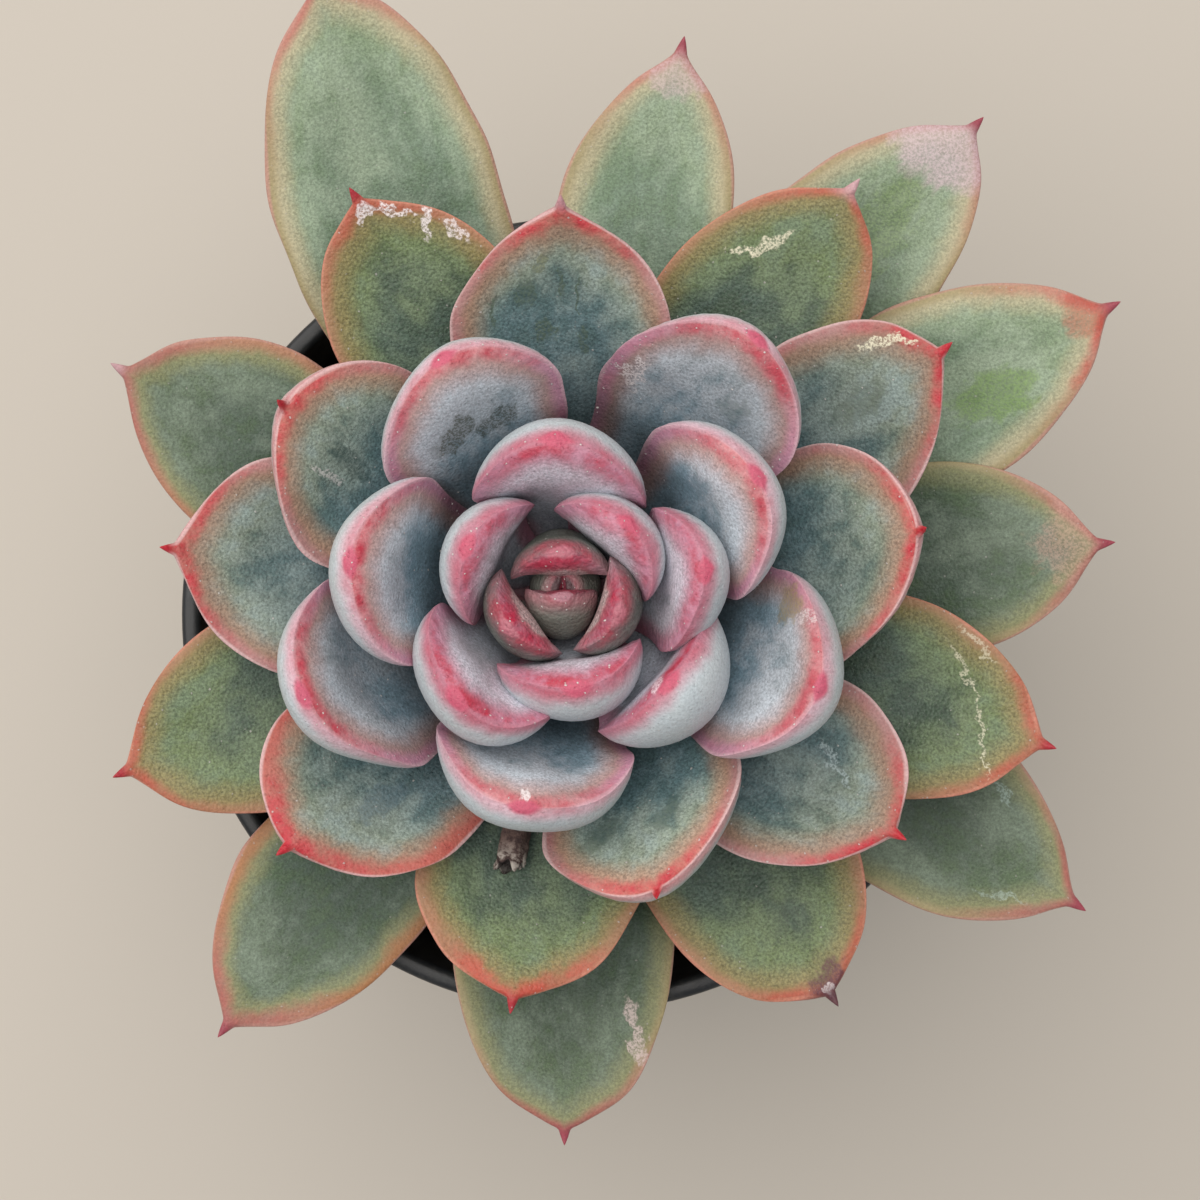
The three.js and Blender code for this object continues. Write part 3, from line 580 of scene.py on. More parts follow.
def leaf_thickness(leaf, age, shares, mucro_share):
    """The full thickness: it swells from the root to past the middle. Flat leaves thin towards the
    tip, and plump ones stay full and close over it as a round dome."""
    u = np.minimum(shares / (1 - mucro_share), 1)
    swelling = np.sin(np.minimum(u / THICKEST_AT, 1) * np.pi / 2)
    grown = ROOT_THICKNESS_SHARE + (1 - ROOT_THICKNESS_SHARE) * swelling
    flat = 1 - TIP_TAPER * smooth_step(u, TAPER_FROM, 1)
    widest_at = between(age, OUTER_WIDEST_AT, INNER_WIDEST_AT)
    dome = (1 - np.maximum((u - widest_at) / (1 - widest_at), 0) ** 2) ** TIP_ROUNDING
    per_width = between(age, OUTER_THICKNESS_PER_WIDTH, INNER_THICKNESS_PER_WIDTH)
    full = min(between(age, OUTER_THICKEST, INNER_THICKEST), per_width * leaf["width"])
    blade = full * grown * between(age, flat, dome)
    return np.minimum(blade, THICKNESS_LIMIT * half_width(leaf, age, shares, mucro_share))


def distance_to_outline(x, s, half, stations):
    """The distance of each blade point from the outline of the flattened blade."""
    outline = np.concatenate([np.stack([half, stations], -1), np.stack([-half, stations], -1)])
    nearest = np.full(x.shape, 1e9)
    for px, ps in outline:
        nearest = np.minimum(nearest, (x - px) ** 2 + (s - ps) ** 2)
    return np.sqrt(nearest)


def leaf_surface(leaf, index, look):
    """Points of one leaf on a grid of rings by sides, with its blade coordinates and growth values.

    Rings stand closer towards the tip. At each ring a lens-shaped section stands square to the
    midrib. Round the section, cos(phi) gives the place across the width, which is bent up on an arc,
    and a power of sin(phi) the upper and lower face. Slow waves lift the blade, its width wavers, and
    small lumps stand beside the margin. Growth is the share of the length, the distance from the
    tip and the age.
    """
    age = index / (len(LEAVES) - 1)
    steps = np.linspace(0, 1, look.rings)
    shares = 1 - (1 - 0.995 * steps) ** 1.5
    points, slopes, length = midrib(leaf, age, shares)
    mucro_share = mucro_length(age) / length
    half = half_width(leaf, age, shares, mucro_share)
    thick = leaf_thickness(leaf, age, shares, mucro_share)
    outward, across, up = directions(leaf["bearing"])
    middle = np.array([*ROSETTE_AXIS, RIM_HEIGHT]) + points[:, :1] * outward + points[:, 1:] * up
    middle = middle + (leaf["sweep"] * shares**2)[:, None] * across
    front = -slopes[:, 1:] * outward + slopes[:, :1] * up

    phi = np.linspace(0, 2 * np.pi, look.sides, endpoint=False)[None, :]
    s = np.repeat((shares * length)[:, None], look.sides, 1)
    x = half[:, None] * np.cos(phi)
    edge = distance_to_outline(x, s, half, shares * length)
    q = np.where(np.sin(phi) > 0, edge, -edge)

    flank = np.sign(x) * FLANKS_APART
    waver = 1 + WAVER * ripples(flank, s, WAVER_LENGTH, index) * smooth_step(shares, 0.1, 0.4)[:, None]
    slow = ripples(x, s, WAVE_LENGTH, index + 100) * smooth_step(shares, 0.1, 0.5)[:, None]
    slow = look.unevenness / MM * slow
    lens = np.abs(np.sin(phi)) ** between(age, OUTER_EDGE, INNER_EDGE)
    near_edge = np.exp(-((edge / LUMP_REACH) ** 2)) * np.minimum(6 * lens, 1)
    lumps = look.lumps / MM * ripples(x, s * 1.3, LUMP_LENGTH, index + 200) * near_edge * (0.35 + age)
    front_share = between(age, OUTER_FRONT_SHARE, INNER_FRONT_SHARE)
    above = thick[:, None] * front_share * lens
    below = thick[:, None] * (1 - front_share) * lens
    settled = smooth_step(thick, 0.2, 1.2)[:, None]
    lift = np.where(np.sin(phi) > 0, above, -below)
    lift = lift + (slow + np.sign(np.sin(phi)) * lumps) * settled
    bend_radius = leaf["width"] / 2 / leaf["cup"]
    bend = x * waver / bend_radius
    aside = bend_radius * np.sin(bend) - lift * np.sin(bend)
    ahead = bend_radius * (1 - np.cos(bend)) + lift * np.cos(bend)
    surface = middle[:, None] + aside[..., None] * across + ahead[..., None] * front[:, None]
    blade = np.stack([x, s, q + 0.8 * lift], -1)
    growth = np.stack([s / length, length - s, np.full(s.shape, age)], -1)
    return surface, blade, growth


class Finish:
    """A material whose nodes are added and wired by plain calls. Values may be numbers or sockets."""

    def __init__(self, name):
        self.material = bpy.data.materials.new(name)
        self.material.use_nodes = True
        self.tree = self.material.node_tree
        self.shader = self.tree.nodes["Principled BSDF"]

    def wire(self, socket, value):
        """Links a socket into another, or sets a plain value on it."""
        if isinstance(value, bpy.types.NodeSocket):
            self.tree.links.new(value, socket)
        else:
            socket.default_value = value

    def add(self, kind, inputs=None, **settings):
        """A node of a kind with its settings and its inputs by name or number."""
        node = self.tree.nodes.new("ShaderNode" + kind)
        for name, value in settings.items():
            setattr(node, name, value)
        for key, value in (inputs or {}).items():
            self.wire(node.inputs[key], value)
        return node

    def math(self, operation, first, second=0.0, third=0.0):
        """One step of arithmetic."""
        node = self.add("Math", {0: first, 1: second, 2: third}, operation=operation)
        return node.outputs[0]

    def plus(self, first, second):
        """The sum of two values."""
        return self.math("ADD", first, second)

    def times(self, first, second):
        """The product of two values."""
        return self.math("MULTIPLY", first, second)

    def around(self, value, width):
        """A value from 0 to 1 stretched to a width about zero."""
        return self.math("MULTIPLY_ADD", value, width, -width / 2)

    def vector_math(self, operation, first, second=(0, 0, 0)):
        """One step of vector arithmetic."""
        return self.add("VectorMath", {0: first, 1: second}, operation=operation).outputs[0]

    def smooth(self, value, low, high, to_low=0.0, to_high=1.0):
        """A smooth step of a value from low to high."""
        inputs = {"Value": value, "From Min": low, "From Max": high, "To Min": to_low, "To Max": to_high}
        return self.add("MapRange", inputs, interpolation_type="SMOOTHSTEP").outputs[0]

    def noise(self, place, scale, detail=2.0, roughness=0.5, distortion=0.0):
        """Soft random values about a half, at a scale in features per unit of the place."""
        inputs = {"Vector": place, "Scale": scale, "Detail": detail}
        inputs |= {"Roughness": roughness, "Distortion": distortion}
        return self.add("TexNoise", inputs).outputs[0]

    def stretch(self, place, scale, shift=(0, 0, 0)):
        """A place scaled by axis and shifted."""
        return self.add("Mapping", {"Vector": place, "Scale": scale, "Location": shift}).outputs[0]

    def mix(self, amount, first, second, blend="MIX"):
        """Two colours mixed by an amount."""
        node = self.add("Mix", data_type="RGBA", blend_type=blend)
        self.wire(node.inputs[0], amount)
        self.wire(node.inputs[6], first)
        self.wire(node.inputs[7], second)
        return node.outputs[2]

    def bump(self, height, strength, depth):
        """A bump from a height field, with its full depth in metres."""
        return self.add("Bump", {"Height": height, "Strength": strength, "Distance": depth}).outputs[0]

    def finish(self, **inputs):
        """Sets the shader's own inputs, by names in plain words, and gives the material."""
        for name, value in inputs.items():
            self.wire(self.shader.inputs[name.replace("_", " ").title().replace("Ior", "IOR")], value)
        return self.material


class LeafSkin(Finish):
    """The waxy skin of one leaf, in the colours of its group and its own.

    From the margin inwards the face runs from the rim over the red band and the blush to the flesh,
    each step at a depth from the margin that soft noise varies. q is that depth without the noise,
    positive on the face and negative on the back, and share runs from the root at 0 to the tip at 1.
    """

    def __init__(self, name, skin, tones, number, half):
        super().__init__(name)
        self.skin = skin
        self.number = number
        paler = np.interp(number, PALER_FROM, PALER_BY)
        tints = np.minimum(paler * np.array(tones) * np.array(skin["tints"]), BRIGHTEST)
        self.base, self.flesh, self.blush, self.band = (paint(*tint) for tint in tints)
        self.place = self.add("Attribute", attribute_name="blade").outputs["Vector"]
        grown = self.add("Attribute", attribute_name="growth").outputs["Vector"]
        blade = self.add("SeparateXYZ", {0: self.place}).outputs
        growth = self.add("SeparateXYZ", {0: grown}).outputs
        self.q = blade[2]
        self.share = growth[0]
        self.tip_distance = growth[1]
        self.flat = self.stretch(self.place, (1.0, 0.7, 0.15), (number * 7.3, number * 2.17, number * 0.855))
        around = self.add("TexCoord").outputs["Object"]
        self.solid = self.stretch(around, (1 / MM, 1 / MM, 1 / MM), (number, 0, 0))
        self.cloud = self.noise(self.flat, 0.14, 2.0, 0.5, 0.3)
        self.mottle = self.noise(self.flat, 0.5, 5.0, 0.62)
        self.fine = self.noise(self.solid, 3.5, 3.0, 0.7)
        self.lush = self.math("MULTIPLY_ADD", self.mottle, 0.55, self.times(self.cloud, 0.45))
        self.waxed = self.smooth(self.lush, 0.44, 0.66)
        aside = self.times(self.math("ABSOLUTE", blade[0]), -0.35 / half)
        self.near_tip = self.smooth(self.plus(self.share, aside), 0.4, 0.85)
        self.depth = self.wavering_depth()
        self.blood = self.clotted_red()

    def wavering_depth(self):
        """The distance from the margin, moved by noise except right at the edge."""
        wander = self.plus(self.around(self.cloud, 2.4), self.around(self.mottle, 2.4))
        wander = self.times(wander, self.skin["band_width"] * 0.7)
        depth = self.math("ABSOLUTE", self.q)
        return self.plus(depth, self.times(wander, self.smooth(depth, 0.0, 2.5)))

    def clotted_red(self):
        """How much of the strong red shows: clots of noise, more near the tip and less on the flanks."""
        clots = self.noise(self.solid, 0.34, 5.0, 0.66)
        clots = self.math("MULTIPLY_ADD", self.near_tip, 0.1, clots)
        red = self.smooth(clots, 0.4, 0.74, 0.0, self.skin["red"])
        red = self.times(red, self.smooth(self.mottle, 0.3, 0.62, 0.72, 1.0))
        flank_red = self.skin["flank_red"]
        return self.times(red, self.math("MULTIPLY_ADD", self.near_tip, 1 - flank_red, flank_red))

    def inside(self):
        """The skin within the margins: base to flesh along the blade, rubbed darker and waxed paler."""
        skin = self.skin
        spread = self.plus(self.share, self.around(self.cloud, 0.9))
        spread = self.plus(spread, self.around(self.mottle, 0.5))
        spread = self.plus(spread, self.smooth(self.depth, 1.0, 8.0, 0.22, 0.0))
        fleshy = self.smooth(spread, skin["base_until"], skin["flesh_from"])
        inner = self.mix(fleshy, self.base, self.flesh)
        inner = self.mix(self.smooth(self.lush, 0.36, 0.54, skin["rub"], 0.0), inner, skin["green"])
        return self.mix(self.times(self.waxed, skin["wax"]), inner, skin["wax_tint"])

    def face(self):
        """The upper side: the inside, the blush, the band with its strong red, and a fine grain."""
        skin = self.skin
        width = skin["band_width"]
        face = self.mix(self.smooth(self.depth, width * 1.4, skin["blush_width"]), self.blush, self.inside())
        band = self.mix(self.near_tip, skin["flank"], self.band)
        face = self.mix(self.smooth(self.depth, width * 0.5, width * 2.0), band, face)
        off_edge = self.smooth(self.depth, 0.1, 0.6, 1 - skin["edging"], 1.0)
        ridge = self.times(off_edge, self.smooth(self.depth, width * 0.7, width * 2.2, 1.0, 0.0))
        face = self.mix(self.times(self.blood, ridge), face, skin["blood"])
        grain = self.smooth(self.fine, 0.3, 0.7, 1 - 0.45 * skin["grain"], 1 + 0.35 * skin["grain"])
        grainy = self.mix(1.0, face, grain, "MULTIPLY")
        return self.mix(self.smooth(self.depth, width, width * 2.5), face, grainy)

    def marked(self, face):
        """The face with the leaf's own marks: ellipses strayed by noise, with ragged, broken edges."""
        marks = MARKS.get(self.number, ())
        if not marks:
            return face
        scatter = self.add("TexNoise", {"Vector": self.flat, "Scale": 0.8, "Detail": 4.0}).outputs["Color"]
        scatter = self.vector_math("SUBTRACT", scatter, (0.5, 0.5, 0.5))
        strayed = self.vector_math("ADD", self.place, self.vector_math("MULTIPLY", scatter, (3.5, 3.5, 0)))
        for across_at, along_at, long, wide, turn, strength, ragged, tone in marks:
            inputs = {"Vector": strayed, "Location": (across_at, along_at, 0)}
            inputs |= {"Rotation": (0, 0, np.radians(turn)), "Scale": (wide, long, 1000)}
            spot = self.add("Mapping", inputs, vector_type="TEXTURE").outputs[0]
            away = self.add("VectorMath", {0: spot}, operation="LENGTH").outputs["Value"]
            away = self.plus(away, self.around(self.mottle, 2 * ragged))
            shown = self.smooth(away, 0.7, 1.05, strength, 0.0)
            shown = self.times(shown, self.smooth(self.fine, 0.44, 0.54, 1 - ragged, 1.0))
            face = self.mix(shown, face, paint(*tone))
        return face

    def back(self):
        """The underside: waxed, with a band of its own and a little of the strong red at the margin."""
        skin = self.skin
        width = skin["band_width"]
        under = self.mix(self.times(self.waxed, 0.35), skin["under"], skin["wax_tint"])
        under = self.mix(self.smooth(self.depth, 0.2, width * 2.4), skin["under_band"], under)
        bled = self.smooth(self.depth, 0.0, width * 1.7, 1 - skin["edging"], 0.0)
        return self.mix(self.times(self.blood, bled), under, skin["blood"])

    def shaded(self, colour):
        """A colour with fine mottling, and with painted shade: darker down in the cup of the leaf and far
        from its margin.
        """
        pit_shade = self.smooth(self.share, *self.skin["pit_shade_span"], self.skin["pit_shade"], 1.0)
        shade = self.times(self.smooth(self.fine, 0.25, 0.75, 0.84, 1.12), pit_shade)
        shade = self.times(shade, self.smooth(self.q, 4.5, 8.5, 1.0, self.skin["deep_shade"]))
        return self.mix(1.0, colour, shade, "MULTIPLY")

    def dress(self):
        """Lays face, back, rim and tip together, scatters white flecks, and gives the material."""
        skin = self.skin
        colour = self.mix(self.smooth(self.q, -0.4, 0.4), self.back(), self.marked(self.face()))
        rim = self.smooth(self.math("ABSOLUTE", self.q), 0.1, 0.5, skin["edging"], 0.0)
        colour = self.mix(rim, colour, skin["rim"])
        tip = self.smooth(self.tip_distance, 0.3 * skin["tip_reach"], skin["tip_reach"], 0.95, 0.0)
        # The whole skin, face and back, gets painted shade down in the cup and far from the margin
        colour = self.shaded(self.mix(tip, colour, skin["tip"]))
        cells = self.add("TexVoronoi", {"Vector": self.solid, "Scale": 1.6, "Randomness": 1.0}).outputs
        dots = self.plus(cells["Distance"], self.around(self.fine, 0.8))
        dots = self.smooth(dots, 0.08, 0.2, 1.0, 0.0)
        drawn = self.add("SeparateColor", {0: cells["Color"]}).outputs[0]
        drawn = self.plus(drawn, self.smooth(self.depth, 0.5, 3.0, 0.2, 0.0))
        flecks = self.times(self.times(dots, self.smooth(drawn, 0.9, 0.96)), skin["flecks"])
        grains = self.add("TexVoronoi", {"Vector": self.solid, "Scale": 2.4, "Randomness": 1.0}).outputs
        height = self.times(self.fine, 0.6)
        height = self.math("MULTIPLY_ADD", grains["Distance"], -skin["grain"], height)
        height = self.math("MULTIPLY_ADD", dots, skin["flecks"], height)
        return self.finish(
            base_color=self.mix(flecks, colour, paint(232, 226, 222)),
            roughness=self.smooth(self.math("SUBTRACT", self.waxed, self.blood), -0.5, 1.0, 0.36, 0.6),
            specular_ior_level=0.4,
            normal=self.bump(height, 0.6, 0.0002),
        )


def skin_for(number):
    """The colouring of a leaf: its group's, with what is its own."""
    groups = (
        (FIRST_BUD, BUD_SKIN), (FIRST_INNER, INNER_SKIN), (FIRST_CUPPED, CUPPED_SKIN),
        (FIRST_MIDDLE, MIDDLE_SKIN), (FIRST_LOWER, LOWER_SKIN),
    )
    skin = next((skin for first, skin in groups if number >= first), OUTER_SKIN)
    return skin | OWN_SKINS.get(number, {})


def grow_leaves(look, first, last):
    """Grows the leaves numbered first to last, each in place of its plain solid."""
    for number in range(first, last + 1):
        name = f"leaf_{number:02d}"
        leaf = LEAVES[number - 1]
        surface, blade, growth = leaf_surface(leaf, number - 1, look)
        rings, sides = surface.shape[:2]
        points = np.concatenate([surface.reshape(-1, 3), surface[:1].mean(1), surface[-1:].mean(1)])
        ends = [blade[0].mean(0), blade[-1].mean(0)]
        blade = np.concatenate([blade.reshape(-1, 3), ends])
        growth = np.concatenate([growth.reshape(-1, 3), growth[:1, 0], growth[-1:, 0]])
        faces = tube_faces(rings, sides, rings * sides, rings * sides + 1)
        skin = LeafSkin(f"skin_of_{name}", skin_for(number), TONES[number - 1], number, leaf["width"] / 2)
        piece = mesh_from(f"blade_{name}", points, faces, skin.dress(), {"blade": blade, "growth": growth})
        take_place(piece, name)


def turned(profile, sides):
    """Points and faces of a closed round body: a profile of (radius, height) pairs that starts and
    ends on the axis, carried round it. The first and last pair are the poles."""
    profile = np.asarray(profile, dtype=float)
    turn = np.linspace(0, 2 * np.pi, sides, endpoint=False)
    ring = profile[1:-1]
    x = ring[:, :1] * np.cos(turn)
    y = ring[:, :1] * np.sin(turn)
    z = np.repeat(ring[:, 1:], sides, 1)
    points = np.stack([x, y, z], -1).reshape(-1, 3)
    poles = [(0, 0, profile[0, 1]), (0, 0, profile[-1, 1])]
    count = len(ring) * sides
    return np.concatenate([points, poles]), tube_faces(len(ring), sides, count, count + 1)


def eased(corners, steps=6):
    """A profile whose corners (radius, height, rounding) are eased by short parabolas that start and
    end the rounding's length away from each corner."""
    corners = [np.array(corner, dtype=float) for corner in corners]
    path = [corners[0][:2]]
    t = np.linspace(0, 1, steps)[:, None]
    for before, here, after in zip(corners, corners[1:], corners[2:]):
        back = before[:2] - here[:2]
        on = after[:2] - here[:2]
        start = here[:2] + back / np.linalg.norm(back) * here[2]
        end = here[:2] + on / np.linalg.norm(on) * here[2]
        path.extend((1 - t) ** 2 * start + 2 * (1 - t) * t * here[:2] + t**2 * end)
    return np.array([*path, corners[-1][:2]])


def cut_holes(piece, centres, radius, low, high):
    """Cuts round upright holes through a piece, one at each centre."""
    points, faces = turned([(0, low), (radius, low), (radius, high), (0, high)], HOLE_SIDES)
    count = len(points)
    cutters = np.concatenate([points + np.array([x, y, 0]) for x, y in centres])
    starts = [count * number for number in range(len(centres))]
    shifted = [[corner + start for corner in face] for start in starts for face in faces]
    cutter = mesh_from("cutter", cutters, shifted, piece.data.materials[0])
    hole = piece.modifiers.new("holes", "BOOLEAN")
    hole.operation = "DIFFERENCE"
    hole.object = cutter
    bpy.context.view_layer.update()
    whole = piece.data
    piece.data = bpy.data.meshes.new_from_object(piece.evaluated_get(bpy.context.evaluated_depsgraph_get()))
    piece.modifiers.clear()
    bpy.data.objects.remove(cutter)
    bpy.data.meshes.remove(whole)


def black_plastic(colour):
    """Matt black plastic: a fine moulded grain, faint scratches round it and a film of pale dust."""
    plastic = Finish("black_plastic")
    place = plastic.add("TexCoord").outputs["Object"]
    grain = plastic.noise(place, 1800.0, 3.0, 0.6)
    dust = plastic.smooth(plastic.noise(place, 420.0, 8.0, 0.78), 0.5, 0.72)
    scratches = plastic.smooth(plastic.noise(plastic.stretch(place, (1, 1, 12)), 160.0, 4.0, 0.6), 0.55, 0.7)
    tone = plastic.mix(plastic.times(dust, 0.22), colour, paint(120, 116, 108))
    tone = plastic.mix(plastic.times(scratches, 0.12), tone, paint(130, 130, 130))
    height = plastic.plus(grain, plastic.times(scratches, 0.4))
    return plastic.finish(
        base_color=tone,
        roughness=plastic.smooth(dust, 0.0, 1.0, 0.38, 0.62),
        specular_ior_level=0.5,
        normal=plastic.bump(height, 0.4, 0.00008),
    )


def earth(name, colour, pale):
    """Damp peat: dark crumbs with browner and paler grains, rough all over."""
    soil = Finish(name)
    place = soil.add("TexCoord").outputs["Object"]
    grains = soil.add("TexVoronoi", {"Vector": place, "Scale": 900.0, "Randomness": 1.0})
    patches = soil.noise(place, 240.0, 6.0, 0.7)
    tone = soil.mix(soil.smooth(patches, 0.35, 0.65), colour, pale)
    tone = soil.mix(0.35, tone, soil.mix(1.0, grains.outputs["Color"], pale, "MULTIPLY"))
    height = soil.plus(patches, soil.times(grains.outputs["Distance"], -0.6))
    return soil.finish(base_color=tone, roughness=0.92, normal=soil.bump(height, 0.8, 0.0008))


def wall_radius(look, height):
    """The outer radius of the tapered wall at a height, both in millimetres."""
    return (look.base_radius + (look.top_radius - look.base_radius) * height * MM / look.height) / MM


def take_place(piece, node):
    """Puts a piece in the place of a plain solid, which it hides, and gives the piece its body."""
    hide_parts(node)
    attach(piece, "root")


class ECHEVERIA_OT_pot(bpy.types.Operator):
    """The tapered black nursery pot with its rolled rim and drain holes."""

    bl_idname = "echeveria.pot"
    bl_label = "Pot"

    def execute(self, context):
        look = context.scene.echeveria_pot
        top = look.height / MM
        wall = look.wall / MM
        foot = look.base_radius / MM
        lip = top - LIP_DROP
        corners = (
            (0, 0, 0), (foot - BASE_CHAMFER, 0, 0.4), (wall_radius(look, BASE_CHAMFER), BASE_CHAMFER, 0.4),
            (wall_radius(look, lip), lip, 0.3), (LIP_RADIUS, lip, 0.8), (LIP_RADIUS, top, 0.9),
            (LIP_INNER_RADIUS, top, 0.8), (wall_radius(look, FLOOR_THICKNESS) - wall, FLOOR_THICKNESS, 0.5),
            (0, FLOOR_THICKNESS, 0),
        )
        points, faces = turned(eased(corners), POT_SIDES)
        pot = mesh_from("nursery_pot", points, faces, black_plastic(tuple(look.colour)))
        turns = np.arange(DRAIN_HOLES) / DRAIN_HOLES * 2 * np.pi
        centres = np.stack([np.cos(turns), np.sin(turns)], -1) * DRAIN_CIRCLE
        cut_holes(pot, centres, DRAIN_RADIUS, -1, FLOOR_THICKNESS + 1)
        take_place(pot, "pot")
        return {"FINISHED"}


class ECHEVERIA_OT_soil(bpy.types.Operator):
    """The bed of potting soil with loose crumbs and a few white perlite grains."""

    bl_idname = "echeveria.soil"
    bl_label = "Soil"

    def execute(self, context):
        look = context.scene.echeveria_soil
        pot = context.scene.echeveria_pot
        top = pot.height / MM - look.below_rim / MM
        bottom = FLOOR_THICKNESS + SOIL_GAP
        inside = wall_radius(pot, top) - pot.wall / MM - 2 * SOIL_GAP
        low = wall_radius(pot, bottom) - pot.wall / MM - 2 * SOIL_GAP
        radii = np.linspace(inside, 0, SOIL_RINGS)
        surface = [(radius, self.mound(radius / inside, top)) for radius in radii]
        points, faces = turned([(0, bottom), (low, bottom), *surface], SOIL_SIDES)
        x, y, z = points.T
        free = smooth_step(np.hypot(x, y), inside, inside - 1.5) * (z > top - 2)
        points[:, 2] += (0.45 * ripples(x, y, 2.2, 5) + 0.5 * ripples(x, y, 5.0, 6)) * free
        peat = earth("peat", tuple(look.colour), paint(92, 72, 54))
        take_place(mesh_from("potting_soil", points, faces, peat), "soil")
        self.scatter("soil_crumbs", look.crumbs, 11, inside, top, 0.9, peat)
        perlite = earth("perlite", paint(190, 186, 178), paint(214, 210, 202))
        self.scatter("perlite_grains", look.crumbs // 20, 12, inside, top, 0.8, perlite)
        return {"FINISHED"}

    def mound(self, share, top):
        """Height of the bed: lowest at the wall, level at the shoulder and highest in the middle."""
        return np.interp(share, (0, 0.5, 0.85, 1), (top + 2, top + 1, top, top - 1))

    def scatter(self, name, count, seed, inside, top, size, material):
        """Small lumpy stones of twelve corners each, at seeded places on the bed."""
        draw = np.random.default_rng(seed)
        corners = np.array([
            (-1, GOLDEN, 0), (1, GOLDEN, 0), (-1, -GOLDEN, 0), (1, -GOLDEN, 0),
            (0, -1, GOLDEN), (0, 1, GOLDEN), (0, -1, -GOLDEN), (0, 1, -GOLDEN),
            (GOLDEN, 0, -1), (GOLDEN, 0, 1), (-GOLDEN, 0, -1), (-GOLDEN, 0, 1),
        ]) / STONE_SIZE
        sides = np.array([
            (0, 11, 5), (0, 5, 1), (0, 1, 7), (0, 7, 10), (0, 10, 11), (1, 5, 9), (5, 11, 4), (11, 10, 2),
            (10, 7, 6), (7, 1, 8), (3, 9, 4), (3, 4, 2), (3, 2, 6), (3, 6, 8), (3, 8, 9), (4, 9, 5),
            (2, 4, 11), (6, 2, 10), (8, 6, 7), (9, 8, 1),
        ])
        radius = (inside - 1.6) * np.sqrt(draw.uniform(0.03, 1, count))
        turn = draw.uniform(0, 2 * np.pi, count)
        height = self.mound(radius / inside, top) + draw.uniform(0, 0.5, count)
        centre = np.stack([radius * np.cos(turn), radius * np.sin(turn), height], -1)
        scale = size * draw.uniform(0.35, 1.3, (count, 1, 1)) * draw.uniform(0.7, 1.25, (count, 12, 1))
        points = (corners * scale * draw.uniform(0.6, 1.3, (count, 1, 3)) + centre[:, None]).reshape(-1, 3)
        faces = (sides + 12 * np.arange(count)[:, None, None]).reshape(-1, 3).tolist()
        stones = mesh_from(name, points, faces, material)
        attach(stones, "root")


